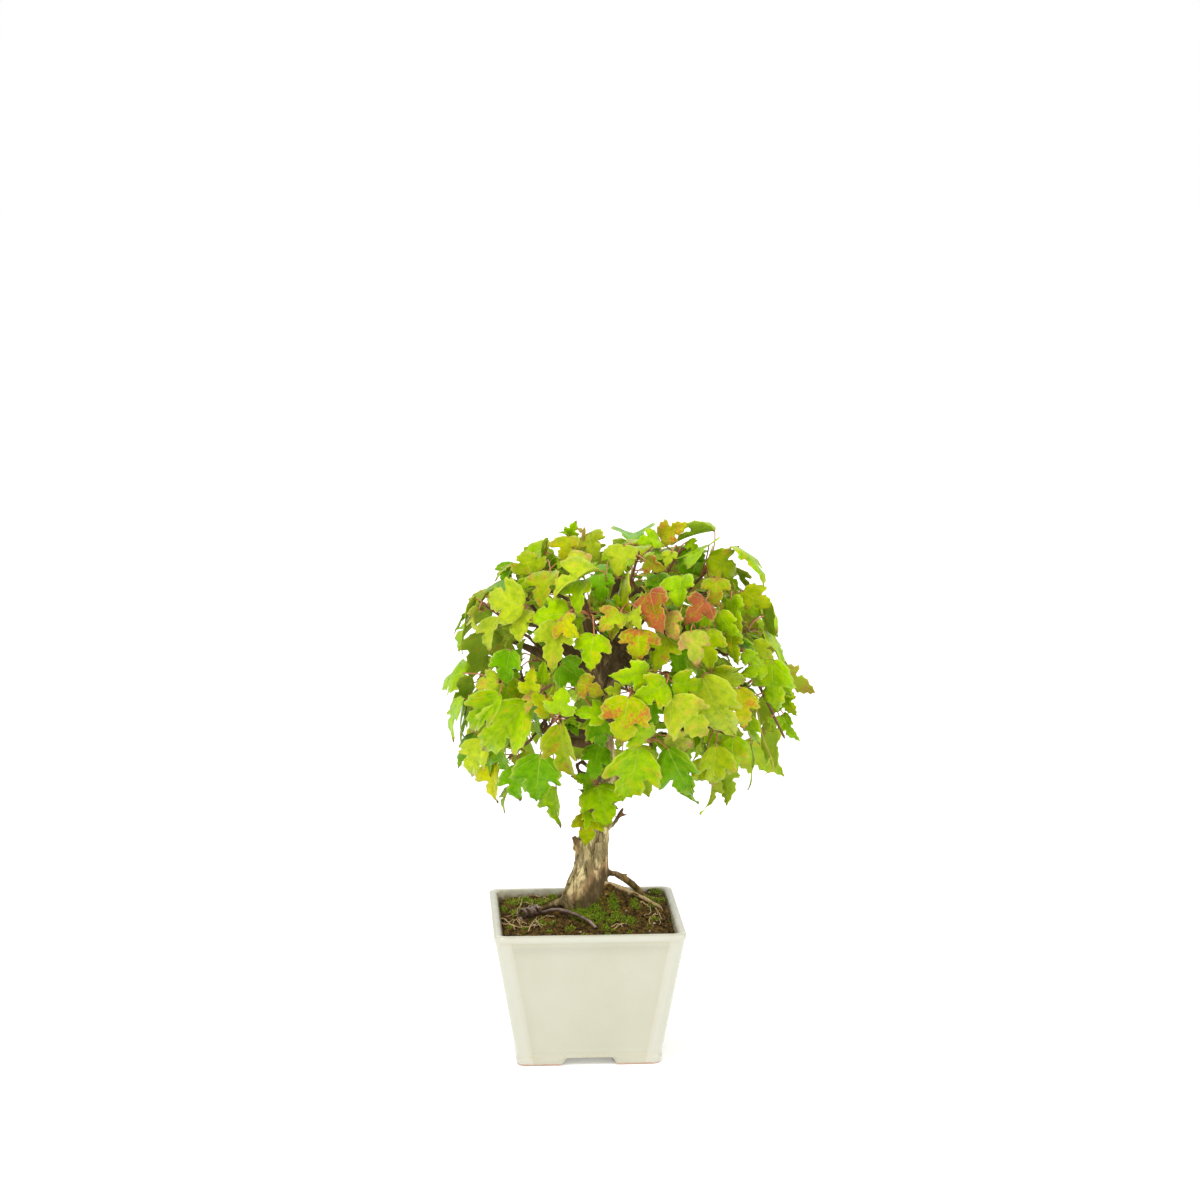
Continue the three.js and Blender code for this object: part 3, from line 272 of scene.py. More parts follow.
def newMaterial(name, settings):
    material = bpy.data.materials.new(name)
    material.use_nodes = True
    tree = material.node_tree
    tree.nodes.clear()
    shader = addNode(tree, "BsdfPrincipled", settings)
    addNode(tree, "OutputMaterial", {"Surface": shader.outputs[0]}, location=(300, 0))
    return material, tree, shader, addNode(tree, "TexCoord").outputs["Object"]


def addBump(tree, shader, height, distance, strength):
    inputs = {"Height": height, "Distance": distance, "Strength": strength}
    tree.links.new(addNode(tree, "Bump", inputs).outputs[0], shader.inputs["Normal"])


# Two colours laid over each other in clouds of one size, with finer clouds inside them
def makeMottle():
    usual = {"Vector": None, "Scale": 100.0, "Contrast": 1.0}
    usual |= {"Dark": (0.2, 0.2, 0.2, 1), "Light": (0.8, 0.8, 0.8, 1)}
    group, given, out = newGroup("mottle", usual, {"Color": "Color", "Mask": "Float"})
    clouds = cloudsAt(group, given["Vector"], given["Scale"], 6.0, 0.62)["Fac"]
    spread = times(group, mathNode(group, "SUBTRACT", clouds, 0.5), given["Contrast"])
    mask = mathNode(group, "ADD", times(group, spread, 3.0), 0.5, clamp=True)
    group.links.new(mixColour(group, mask, given["Dark"], given["Light"]), out["Color"])
    group.links.new(mask, out["Mask"])
    return group


# Damp or dirt that is densest at one height and thins out to another, with a ragged edge
def makeStain():
    usual = {"Vector": None, "Full height": 0.0, "Clean height": 0.02, "Ragged": 0.01, "Scale": 150.0}
    group, given, out = newGroup("stain", usual, {"Mask": "Float"})
    height = addNode(group, "SeparateXYZ", {0: given["Vector"]}).outputs["Z"]
    clouds = cloudsAt(group, given["Vector"], given["Scale"], 5.0)["Fac"]
    shift = times(group, mathNode(group, "SUBTRACT", clouds, 0.5), given["Ragged"])
    level = mathNode(group, "ADD", height, shift)
    mask = rangeNode(group, level, given["Full height"], given["Clean height"], 1.0, 0.0)
    group.links.new(mask, out["Mask"])
    return group


mottle = makeMottle()
stain = makeStain()


def mottled(tree, place, scale, dark, light, contrast=1.0):
    look = {"Vector": place, "Scale": scale, "Contrast": contrast, "Dark": dark, "Light": light}
    return useGroup(tree, mottle, look)


def stained(tree, place, full, clean, ragged, scale):
    heights = {"Full height": full, "Clean height": clean, "Ragged": ragged}
    return useGroup(tree, stain, {"Vector": place, "Scale": scale, **heights})["Mask"]


# Pot: one closed skin, extruded ring by ring from outside the foot over the rim to under the foot

potShape = {
    "height": 95.0,
    "rimHalf": 65.0,
    "footHalf": 48.4,
    "corner": 7.0,
    "insideCorner": 5.0,
    "panelEdge": 10.5,
    "panelDepth": 0.8,
    "panelLow": 9.0,
    "panelHigh": 86.0,
    "notchDepth": 5.5,
    "wave": 0.12,
    # the share of the panel's half width at which columns of the mesh stand, and where the notch ends
    "columns": [0, 0.135, 0.27, 0.4, 0.507, 0.62, 0.75, 0.87, 1],
    "notchFlat": 0.41,
    "cornerSteps": 8,
}
# Height, and how far out of the sloping side, first up the outside and then down the inside
potOutside = [
    (0.0, 0.1), (0.35, 0.55), (0.8, 0.85), (1.6, 0.9), (4.4, 0.9), (5.1, 0.8), (5.7, 0.35),
    *[(z, 0.0) for z in (6.4, 8.5, 9.4, 12, 18, 26, 35, 44, 53, 62, 71, 79, 85.6, 86.5, 88.8)],
    (89.8, 0.15), (90.7, 0.48), (91.6, 0.62), (93.0, 0.5), (94.0, 0.1), (94.6, -0.55),
    (94.9, -1.3), (95.0, -2.1), (95.0, -3.0),
]
potInside = [
    (94.85, -3.8), (94.5, -4.5), (93.9, -5.1), (93.0, -5.45), (90, -5.7), (80, -5.8), (64, -5.95),
    (48, -6.15), (32, -6.4), (20, -6.6), (15.5, -6.8), (13.0, -7.9), (11.8, -9.4), (11.5, -11.5),
]
# The floor with the drain hole, by radius and height, and the foot by half width and height
potFloor = [(26, 11.5), (12, 11.5), (8.5, 11.4), (8, 10.9), (8, 6.1), (8.5, 5.6), (16, 5.5), (30, 5.5)]
potFoot = [(38.6, 5.5), (39.3, 4.9), (39.4, 1.0), (39.9, 0.2), (40.8, 0.0), (47.6, 0.0)]

shares = [-s for s in reversed(potShape["columns"][1:])] + potShape["columns"]
potColumns = [("share", s) for s in shares]
potColumns = [("corner", -1), ("margin", -1), *potColumns, ("margin", 1), ("corner", 1)]
perSide = len(potColumns) + potShape["cornerSteps"] - 1


def outerHalf(z):
    return potShape["footHalf"] + (potShape["rimHalf"] - potShape["footHalf"]) * z / potShape["height"]


def potPlace(column, half, corner, inset):
    side, i = divmod(column, perSide)
    straight = half - corner
    if i < len(potColumns):
        kind, value = potColumns[i]
        reach = {"corner": straight, "margin": half - inset + 0.45, "share": half - inset - 0.35}
        p = Vector((reach[kind] * value, -half, 0))
    else:
        angle = math.radians(90 * (i - len(potColumns) + 1) / potShape["cornerSteps"] - 90)
        p = Vector((straight + corner * math.cos(angle), -straight + corner * math.sin(angle), 0))
    return Matrix.Rotation(side * math.pi / 2, 3, "Z") @ p


# How far a column stands from the middle of its panel, as a share, or more than 1 beside the panel
def panelShare(column):
    i = column % perSide
    return abs(potColumns[i][1]) if i < len(potColumns) and potColumns[i][0] == "share" else 2


# Every ring of the pot's skin in turn: (kind, height, half width, corner radius, panel edge)
def potRings():
    inset, corner, inner = potShape["panelEdge"], potShape["corner"], potShape["insideCorner"]
    rings = [("outside", z, outerHalf(z) + out, corner, inset + out) for z, out in potOutside]
    rings += [("inside", z, outerHalf(z) + out, inner, 7) for z, out in potInside]
    rings += [("round", z, radius, 0, 0) for radius, z in potFloor]
    return rings + [("under", z, half, 5.0 if half < 41 else 6.6, 7) for half, z in potFoot]


def makePot(materials):
    bm = bmesh.new()
    column = bm.verts.layers.int.new("column")
    verts = bmesh.ops.create_circle(bm, segments=4 * perSide, radius=1)["verts"]
    for i, v in enumerate(verts):
        v[column] = i
    first = edges = list(bm.edges)
    for number, (kind, z, half, corner, inset) in enumerate(potRings()):
        if number:
            verts, edges = nextRing(bm, edges)
        for v in verts:
            share = panelShare(v[column])
            if kind == "round":
                p = potPlace(v[column], 40, 5, 7).normalized() * half
            else:
                p = potPlace(v[column], half, corner, inset)
            if kind == "outside" and share <= 1 and potShape["panelLow"] < z < potShape["panelHigh"]:
                p *= (half - potShape["panelDepth"]) / half
            if kind in ("outside", "inside") and 7 < z < 94.5:
                p *= 1 + potShape["wave"] * noise.noise(Vector((p.x, p.y, z)) * 0.045) / half
            notched = kind in ("outside", "under") and z <= 6 and share < potShape["notchFlat"]
            p.z = max(z, potShape["notchDepth"]) if notched else z
            v.co = placed(p)
    bmesh.ops.bridge_loops(bm, edges=[*first, *edges])
    bmesh.ops.remove_doubles(bm, verts=bm.verts, dist=2e-6)
    bmesh.ops.recalc_face_normals(bm, faces=bm.faces)
    return addPiece("glazed_pot", bm, materials, ["pot"])


glazeLook = {
    "light": (0.51, 0.50, 0.395, 1),
    "dark": (0.475, 0.462, 0.35, 1),
    "frame": (0.55, 0.545, 0.46, 1),
    "speck": (0.42, 0.34, 0.22, 1),
    "thin": (0.50, 0.42, 0.27, 1),
    "clay": (0.50, 0.30, 0.20, 1),
    "dirt": (0.12, 0.085, 0.04, 1),
    "tide": (0.36, 0.30, 0.18, 1),
}


def glazeMaterial():
    settings = {"Roughness": 0.24, "Coat Weight": 0.25, "Coat Roughness": 0.08, "IOR": 1.5}
    material, tree, shader, place = newMaterial("creamGlaze", settings)
    colour = mottled(tree, place, 26.0, glazeLook["dark"], glazeLook["light"], 0.8)["Color"]

    def cover(mask, strength, name):
        return mixColour(tree, times(tree, mask, strength), colour, glazeLook[name])

    dots = addNode(tree, "TexVoronoi", {"Vector": place, "Scale": 420.0}).outputs["Distance"]
    sparse = rangeNode(tree, cloudsAt(tree, place, 160.0)["Fac"], 0.6, 0.68)
    colour = cover(rangeNode(tree, dots, 0.07, 0.14, 0.75, 0.0), sparse, "speck")
    colour = cover(attribute(tree, "frame")["Fac"], 0.8, "frame")
    worn = rangeNode(tree, cloudsAt(tree, place, 130.0, 4.0)["Fac"], 0.35, 0.65, 0.1, 0.7)
    colour = cover(attribute(tree, "thin")["Fac"], worn, "thin")
    clay = stained(tree, place, 0.0004, 0.0016, 0.0022, 260.0)
    colour = mixColour(tree, clay, colour, glazeLook["clay"])
    inner = attribute(tree, "dirt")["Fac"]
    colour = cover(times(tree, inner, stained(tree, place, 0.086, 0.0985, 0.016, 120.0)), 0.9, "tide")
    dirt = times(tree, inner, stained(tree, place, 0.089, 0.0945, 0.011, 190.0))
    colour = cover(dirt, 0.8, "dirt")
    tree.links.new(colour, shader.inputs["Base Color"])
    rough = rangeNode(tree, mathNode(tree, "MAXIMUM", clay, dirt), 0.0, 1.0, 0.24, 0.85)
    tree.links.new(rough, shader.inputs["Roughness"])
    addBump(tree, shader, cloudsAt(tree, place, 240.0)["Fac"], 0.0002, 0.35)
    return material


# How thin the glaze lies on the ribs and the rim, and which parts can get dirty
def paintPot(piece):
    mesh = piece.data
    thin = mesh.attributes.new("thin", "FLOAT", "POINT")
    dirt = mesh.attributes.new("dirt", "FLOAT", "POINT")
    side = mesh.attributes.new("frame", "FLOAT", "POINT")
    for i, v in enumerate(mesh.vertices):
        p = (v.co - potCentre) / mm
        across, along = sorted((abs(p.x), abs(p.y)))
        half = outerHalf(p.z)
        ribs = max(0, 1 - abs(half - across - potShape["panelEdge"]) / 1.4) if along > half - 1.2 else 0
        corner = max(0, 1 - math.hypot(half - across, half - along) / 5) * 0.3
        side.data[i].value = 1 if half - across < potShape["panelEdge"] or p.z > 90 else 0
        band = max(0, 1 - abs(p.z - 6.2) / 1.2) + max(0, 1 - abs(p.z - 89.6) / 1.0)
        rim = max(0, 1 - abs(p.z - 94.8) / 0.6)
        thin.data[i].value = min(1, 0.55 * ribs + 0.5 * corner + 0.5 * band + 0.45 * rim)
        dirt.data[i].value = 1 if along < half - 2.8 and p.z > 7 else 0


pot = makePot([glazeMaterial()])
paintPot(pot)


# Mesh over the drain hole: the CAD node with a finish of its own


def meshMaterial():
    material, tree, shader, place = newMaterial("drainMeshPlastic", {"Roughness": 0.55})
    skin = mottled(tree, place, 300.0, (0.012, 0.013, 0.012, 1), (0.03, 0.032, 0.03, 1))
    tree.links.new(skin["Color"], shader.inputs["Base Color"])
    return material


drainMesh = frame["nodes"]["drain_mesh"]
drainMesh.data.materials.clear()
drainMesh.data.materials.append(meshMaterial())


# Soil: a fine grid pressed to the pot's square, heaped at the trunk, with a plain block under it

soilShape = {
    "edge": 89.0,
    "tilt": 0.03,
    "mound": 18.0,
    "spread": 29.0,
    "centre": (16.0, 14.0),
    "gap": 6.1,
    "corner": 5.0,
    "cells": 216,
    "crumb": 0.6,
    "heap": 11.0,
    "heapCentre": (15, 1),
    "heapSpread": 8,
    "mossRise": 0.9,
    # height and distance from the pot's outside, for the rings of the block under the grid
    "block": [(82, 6.3), (30, 6.8), (16, 7.4), (12, 10.5)],
}


def soilHeight(x, y):
    far = math.hypot(x - soilShape["centre"][0], y - soilShape["centre"][1])
    mound = soilShape["mound"] * math.exp(-((far / soilShape["spread"]) ** 2))
    lumps = 0.6 * math.sin(x * 0.21 + 1) * math.cos(y * 0.17) + 0.5 * math.sin(x * 0.43 - y * 0.37)
    return soilShape["edge"] + soilShape["tilt"] * (x + y) + mound + lumps


# Noise over the soil, in a layer of its own
def soilNoise(x, y, layer, scale):
    return noise.noise(Vector((x, y, layer)) * scale)


def fineSoil(x, y):
    lumps = 0.9 * soilNoise(x, y, 3, 0.16) + 0.55 * soilNoise(x, y, 9, 0.42)
    grains = soilNoise(x, y, 5, 1.1) + 0.5 * soilNoise(x, y, 7, 2.3)
    across, along = x - soilShape["heapCentre"][0], y - soilShape["heapCentre"][1]
    spread = soilShape["heapSpread"]
    heap = soilShape["heap"] * math.exp(-((across / spread) ** 2) - (along / spread) ** 2)
    return soilHeight(x, y) + heap + lumps + soilShape["crumb"] * grains - 0.25


def soilPoint(x, y, lift=0.0):
    return Vector((x, y, fineSoil(x, y) + lift))


# The first place on the soil along the line of sight through (u, v), in pot millimetres
def onSoil(u, v, lift=0.0):
    near, far, step = 2080.0, 2280, 0.5
    while near < far:
        p = seenAlong(u, v, near)
        if p.z <= fineSoil(p.x, p.y) + lift:
            break
        near += step
    return soilPoint(p.x, p.y, lift)


# Moss cushions: where they are seen, their size and how yellow they are
mossPatches = [
    (1, 90, 11, 0.15), (9, 87, 8, 0.1), (-6, 93, 6, 0.3), (-10, 79, 4, 0.9), (30, 85, 6, 0.2),
    (22, 88, 5, 0.3), (-50, 97, 7, 0.35), (-42, 99, 5, 0.3), (-57, 93, 4, 0.4), (40, 101, 7, 0.2),
    (50, 105, 8, 0.3), (34, 97, 5, 0.4), (54, 99, 5, 0.2), (47, 86, 4, 0.5), (-30, 83, 4, 0.5),
    (14, 80, 4, 0.3), (-22, 100, 5, 0.6), (20, 95, 5, 0.3),
]
# The same for the far side of the pot, which the picture doesn't show, by place on the soil
mossBehind = [(-30, 42, 9, 0.3), (28, 50, 11, 0.2), (46, 20, 8, 0.4), (-46, 20, 7, 0.3), (2, 50, 8, 0.5)]
mossTufts = {"count": 30, "reach": 54, "size": (1.6, 4.2), "yellow": (0.05, 0.7), "seed": 19}

mossPlaces = [(onSoil(u, v), size, yellow) for u, v, size, yellow in mossPatches]
mossDraw = random.Random(mossTufts["seed"])
for _ in range(mossTufts["count"]):
    x, y = [mossDraw.uniform(-mossTufts["reach"], mossTufts["reach"]) for _ in range(2)]
    size, yellow = mossDraw.uniform(*mossTufts["size"]), mossDraw.uniform(*mossTufts["yellow"])
    mossPlaces.append((soilPoint(x, y), size, yellow))
mossPlaces += [(soilPoint(x, y), size, yellow) for x, y, size, yellow in mossBehind]


def mossAt(x, y):
    found = 0.0
    for place, size, _ in mossPlaces:
        far = math.hypot(x - place.x, y - place.y) / size
        if far < 1.7:
            ragged = 0.5 * soilNoise(x, y, 1, 0.45) + 0.4 * soilNoise(x, y, 2, 1.1)
            found = max(found, 1 - far + ragged)
    return min(1.0, max(0.0, 2.2 * found))


def makeSoil(material):
    bm = bmesh.new()
    cells, corner = soilShape["cells"], soilShape["corner"]
    bmesh.ops.create_grid(bm, x_segments=cells, y_segments=cells, size=1)
    moss = bm.verts.layers.float.new("moss")
    for v in bm.verts:
        half = outerHalf(soilShape["edge"]) - soilShape["gap"]
        for _ in range(2):  # the pot widens upwards, so the width follows the height
            x, y = v.co.x * half, v.co.y * half
            dx, dy = abs(x) - half + corner, abs(y) - half + corner
            if dx > 0 and dy > 0:
                pull = max(dx, dy) / math.hypot(dx, dy)
                x = math.copysign(half - corner + dx * pull, x)
                y = math.copysign(half - corner + dy * pull, y)
            half = outerHalf(soilHeight(x, y)) - soilShape["gap"]
        v[moss] = mossAt(x, y)
        v.co = placed(soilPoint(x, y, soilShape["mossRise"] * v[moss]))
    edges = [e for e in bm.edges if e.is_boundary]
    for z, inset in soilShape["block"]:
        verts, edges = nextRing(bm, edges)
        half = outerHalf(z) - inset
        for v in verts:
            p = (v.co - potCentre) / mm
            short, long = sorted((abs(p.x), abs(p.y)))
            scale = half / long * (0.985 if short / long > 0.93 else 1)  # a little in at the corners
            v.co = placed((p.x * scale, p.y * scale, z))
    bmesh.ops.edgeloop_fill(bm, edges=edges)
    bmesh.ops.recalc_face_normals(bm, faces=bm.faces)
    return addPiece("potting_soil_top", bm, [material], ["soil"])


soilLook = {
    "dark": (0.016, 0.009, 0.002, 1),
    "light": (0.155, 0.088, 0.016, 1),
    "moss": (0.13, 0.20, 0.002, 1),
    "mossDark": (0.03, 0.05, 0.002, 1),
}


def soilMaterial():
    settings = {"Roughness": 0.92, "Specular IOR Level": 0.15}
    material, tree, shader, place = newMaterial("darkSoil", settings)
    ground = mottled(tree, place, 330.0, soilLook["dark"], soilLook["light"], 1.5)
    green = mottled(tree, place, 600.0, soilLook["mossDark"], soilLook["moss"], 1.2)
    film = rangeNode(tree, cloudsAt(tree, place, 75.0, 5.0, 0.7)["Fac"], 0.54, 0.68, 0.0, 0.3)
    greened = mathNode(tree, "MAXIMUM", attribute(tree, "moss")["Fac"], film)
    colour = mixColour(tree, greened, ground["Color"], green["Color"])
    tree.links.new(colour, shader.inputs["Base Color"])
    addBump(tree, shader, ground["Mask"], 0.0006, 0.8)
    return material


makeSoil(soilMaterial())

# Loose crumbs of soil, with a few pale grains among them
gritShape = {
    "count": 1150,
    "reach": 56,
    "small": 0.35,
    "large": 1.5,
    "pale": 0.07,
    "rough": 0.16,
    "seed": 11,
}


def makeGrit(material):
    draw = random.Random(gritShape["seed"])
    reach, rough = gritShape["reach"], gritShape["rough"]
    bm = bmesh.new()
    tone = bm.verts.layers.float.new("tone")
    for _ in range(gritShape["count"]):
        x, y = draw.uniform(-reach, reach), draw.uniform(-reach, reach)
        radius = gritShape["small"] + (gritShape["large"] - gritShape["small"]) * draw.random() ** 3
        shade = draw.uniform(0.75, 1.0) if draw.random() < gritShape["pale"] else draw.uniform(0, 0.45)
        turn = Matrix.Rotation(draw.uniform(0, 6.28), 4, (draw.random() - 0.5, draw.random() - 0.5, 1))
        size = Matrix.Diagonal((1, draw.uniform(0.6, 1), draw.uniform(0.5, 0.85), 1))
        where = Matrix.Translation(placed(soilPoint(x, y, radius * 0.35))) @ turn @ size
        verts = bmesh.ops.create_icosphere(bm, subdivisions=1, radius=radius * mm, matrix=where)["verts"]
        for v in verts:
            v.co += Vector([draw.uniform(-rough, rough) * radius * mm for _ in range(3)])
            v[tone] = shade
    return addPiece("soil_crumbs", bm, [material], smooth=False)


def gritMaterial():
    settings = {"Roughness": 0.9, "Specular IOR Level": 0.2}
    material, tree, shader, place = newMaterial("soilCrumbs", settings)
    stops = [(0, (0.012, 0.008, 0.005, 1)), (0.45, (0.10, 0.055, 0.025, 1)), (1, (0.55, 0.47, 0.33, 1))]
    colour = rampColour(tree, attribute(tree, "tone")["Fac"], stops)
    speckle = mottled(tree, place, 900.0, (0.6, 0.6, 0.6, 1), (1, 1, 1, 1))
    colour = mixColour(tree, 1.0, colour, speckle["Color"], "MULTIPLY")
    tree.links.new(colour, shader.inputs["Base Color"])
    addBump(tree, shader, speckle["Mask"], 0.0003, 0.6)
    return material


makeGrit(gritMaterial())

# Moss: short pointed blades that stand close together on the cushions
mossShape = {
    "perSize": 1.5,
    "length": 1.9,
    "radius": 0.36,
    "tip": 0.05,
    "lean": 0.6,
    "reach": 57,
    "seed": 7,
}


def makeMoss(material):
    draw = random.Random(mossShape["seed"])
    bm = bmesh.new()
    tone = bm.verts.layers.float.new("tone")
    for place, size, yellow in mossPlaces:
        for _ in range(int(mossShape["perSize"] * size * size)):
            far = size * math.sqrt(draw.random()) * 1.05
            angle = draw.uniform(0, 2 * math.pi)
            x, y = place.x + far * math.cos(angle), place.y + far * math.sin(angle)
            if max(abs(x), abs(y)) > mossShape["reach"] or mossAt(x, y) < 0.2:
                continue
            length = mossShape["length"] * draw.uniform(0.6, 1.3)
            lean = Vector((draw.gauss(0, 1), draw.gauss(0, 1), 0)) * mossShape["lean"]
            turn = (Vector((0, 0, 1)) + lean).normalized().to_track_quat("Z", "Y").to_matrix()
            middle = soilPoint(x, y, soilShape["mossRise"] * mossAt(x, y) + 0.35 * length)
            made = bmesh.ops.create_cone(
                bm,
                cap_ends=True,
                segments=3,
                radius1=mossShape["radius"] * draw.uniform(0.7, 1.2) * mm,
                radius2=mossShape["tip"] * mm,
                depth=length * mm,
                matrix=Matrix.Translation(placed(middle)) @ turn.to_4x4(),
            )
            shade = min(1, max(0, yellow + draw.gauss(0, 0.18)))
            for v in made["verts"]:
                v[tone] = shade
    return addPiece("moss", bm, [material])


def mossMaterial():
    settings = {"Roughness": 0.7, "Subsurface Weight": 0.1, "Subsurface Scale": 0.001}
    material, tree, shader, place = newMaterial("mossGreen", settings)
    stops = [(0, (0.22, 0.38, 0.004, 1)), (1, (0.55, 0.52, 0.03, 1))]
    colour = rampColour(tree, attribute(tree, "tone")["Fac"], stops)
    speckle = mottled(tree, place, 500.0, (0.5, 0.55, 0.4, 1), (1, 1, 1, 1))
    colour = mixColour(tree, 1.0, colour, speckle["Color"], "MULTIPLY")
    tree.links.new(colour, shader.inputs["Base Color"])
    return material


makeMoss(mossMaterial())

# Fine roots that lie on the soil, by where they are seen: points, then thickness at both ends
rootlets = [
    ([(-48, 103), (-38, 102), (-30, 101), (-25, 100)], 0.5, 0.25),
    ([(-45, 102), (-44, 96), (-47, 91), (-46, 86), (-44, 80)], 0.6, 0.35),
    ([(-35, 99), (-40, 92), (-45, 88), (-51, 83)], 0.5, 0.3),
    ([(-62, 85), (-55, 82), (-45, 80), (-35, 81), (-25, 83)], 0.5, 0.25),
    ([(-60, 87), (-54, 84), (-48, 79)], 0.55, 0.3),
    ([(-34, 86), (-37, 82), (-40, 78)], 0.5, 0.35),
    ([(-28, 92), (-34, 95), (-42, 97), (-52, 99)], 0.5, 0.2),
    ([(-47, 91), (-51, 88), (-56, 87)], 0.4, 0.2),
    ([(-40, 84), (-45, 83), (-49, 85), (-53, 84)], 0.4, 0.2),
    ([(-46, 86), (-42, 83), (-38, 82)], 0.4, 0.2),
    ([(-30, 80), (-34, 84), (-33, 88)], 0.4, 0.2),
    ([(38, 98), (44, 94), (45, 90), (40, 88)], 0.5, 0.25),
    ([(44, 97), (50, 96), (54, 92)], 0.45, 0.2),
    ([(48, 94), (50, 90), (47, 87)], 0.45, 0.2),
    ([(48, 90), (46, 87), (44, 85), (47, 80)], 0.45, 0.25),
    ([(50, 92), (52, 87), (51, 82)], 0.4, 0.2),
    ([(34, 102), (42, 100), (50, 101)], 0.4, 0.2),
    ([(-20, 88), (-28, 87), (-33, 84), (-36, 79)], 0.4, 0.2),
    ([(18, 81), (22, 82), (27, 81)], 0.5, 0.3),
    ([(20, 79), (24, 81.5), (29, 83)], 0.45, 0.25),
]
# The long root that lies on the mound, from the trunk to the right
surfaceRoot = {
    "start": [(5, 108, 6), (14, 110.6, 8.6)],
    "path": [(24, 107.6, 1.2), (32, 104.4, 1.3), (42, 99.4, 1.2), (48, 96.2, 0.9), (52, 93.6, -0.6)],
    "thick": 2.3,
    "thin": 0.9,
}


def makeRootlets(material):
    draw = random.Random(3)
    bm = bmesh.new()
    for seen, thick, thin in rootlets:
        along = curved([Vector((u, v, 0)) for u, v in seen], 6)
        last = len(along) - 1
        points = []
        for i, p in enumerate(along):
            q = onSoil(p.x + draw.gauss(0, 0.35), p.y + draw.gauss(0, 0.22), 0.3)
            q.z += 0.9 * math.sin(math.pi * i / last) * draw.uniform(0.4, 1)
            points.append(q)
        points[-1].z -= 1.2
        points[0].z -= 0.6
        radii = [thick + (thin - thick) * i / last for i in range(last + 1)]
        radii = [r * draw.uniform(0.8, 1.2) * mm for r in radii]
        addTube(bm, [placed(p) for p in points], radii, 6)
    path = [onTree(*p) for p in surfaceRoot["start"]] + [onSoil(*p) for p in surfaceRoot["path"]]
    path = curved([placed(p) for p in path], 6)
    last = len(path) - 1
    thick, thin = surfaceRoot["thick"], surfaceRoot["thin"]
    radii = [thin + (thick - thin) * (1 - i / last) ** 1.3 for i in range(last + 1)]
    addTube(bm, path, [r * draw.uniform(0.9, 1.12) * mm for r in radii], 10)
    bmesh.ops.recalc_face_normals(bm, faces=bm.faces)
    return addPiece("rootlets", bm, [material])


def rootletMaterial():
    material, tree, shader, place = newMaterial("paleRoot", {"Roughness": 0.75})
    skin = mottled(tree, place, 260.0, (0.26, 0.16, 0.06, 1), (0.66, 0.48, 0.24, 1))
    tree.links.new(skin["Color"], shader.inputs["Base Color"])
    addBump(tree, shader, skin["Mask"], 0.0002, 0.6)
    return material


makeRootlets(rootletMaterial())
print("pot and soil done")


# Wood: the CAD tree remeshed fine, rounded, and given the relief of its bark

woodShape = {
    "voxel": 0.902,
    "rounding": 34,
    "twigRounding": 5,
    "relief": 0.75,
    "plates": 0.5,
    "twigRelief": 0.12,
    # the trunk's middle line, as seen: u, v, depth, radius
    "trunk": [
        (2, 84, -1, 14), (2, 92, 0, 16), (0, 101, 1, 17.5), (2, 110, 1, 15.2), (3.6, 119, 1, 12.9),
        (4.4, 130, 2, 11.8), (6, 143, 3, 11), (8, 156, 4, 9.6), (8.8, 169, 4, 8.4), (12.6, 186, 2, 7.9),
        (12.5, 203, 0, 8.2), (11, 220, 0, 8.2), (11, 238, 0, 9.5), (11, 256, 0, 13),
    ],
    # the trunk's relief ends at this share of its radius, over a margin, and the roots' at a height
    "trunkEdge": 1.55,
    "trunkMargin": 0.35,
    "rootHeight": 0.135,
    "rootMargin": 0.02,
}


def remeshed(name, node, voxel):
    mesh = meshOf("rough", nodeCopy(node))
    rough = linked("rough", mesh)
    modifier = rough.modifiers.new("voxels", "REMESH")
    modifier.mode = "VOXEL"
    modifier.voxel_size = voxel * mm
    graph = bpy.context.evaluated_depsgraph_get()
    fine = bpy.data.meshes.new_from_object(rough.evaluated_get(graph), depsgraph=graph)
    bpy.data.objects.remove(rough)
    bpy.data.meshes.remove(mesh)
    fine.name = name
    return fine


# The places or the normals of a mesh's points
def pointValues(mesh, kind):
    values = np.zeros(len(mesh.vertices) * 3)
    mesh.vertices.foreach_get(kind, values)
    return values.reshape(-1, 3)


def meshEdges(mesh):
    edges = np.zeros(len(mesh.edges) * 2, dtype=np.int64)
    mesh.edges.foreach_get("vertices", edges)
    return edges.reshape(-1, 2)


# Rounds facets away without thinning the piece: each step pulls points together, then pushes them back
def rounded(points, edges, steps):
    a, b = edges[:, 0], edges[:, 1]
    count = len(points)
    degree = np.bincount(edges.ravel(), minlength=count).reshape(-1, 1)
    for _ in range(steps):
        for pull in (0.5, -0.52):
            sums = [
                np.bincount(a, points[b, k], count) + np.bincount(b, points[a, k], count)
                for k in range(3)
            ]
            points = points + pull * (np.stack(sums, axis=1) / degree - points)
    return points


def setPoints(mesh, points):
    mesh.vertices.foreach_set("co", points.astype(np.float32).ravel())
    mesh.update()


# How far each point is from the trunk's middle line, as a share of the trunk's radius there
def trunkShare(points):
    line = [placed(onTree(u, v, w)) for u, v, w, _ in woodShape["trunk"]]
    radii = [row[3] * mm for row in woodShape["trunk"]]
    best = np.full(len(points), 9.0)
    for i in range(len(line) - 1):
        a, b = np.array(line[i]), np.array(line[i + 1])
        t = np.clip(((points - a) @ (b - a)) / ((b - a) @ (b - a)), 0, 1)
        far = np.linalg.norm(points - a - t[:, None] * (b - a), axis=1)
        best = np.minimum(best, far / (radii[i] + t * (radii[i + 1] - radii[i])))
    return best


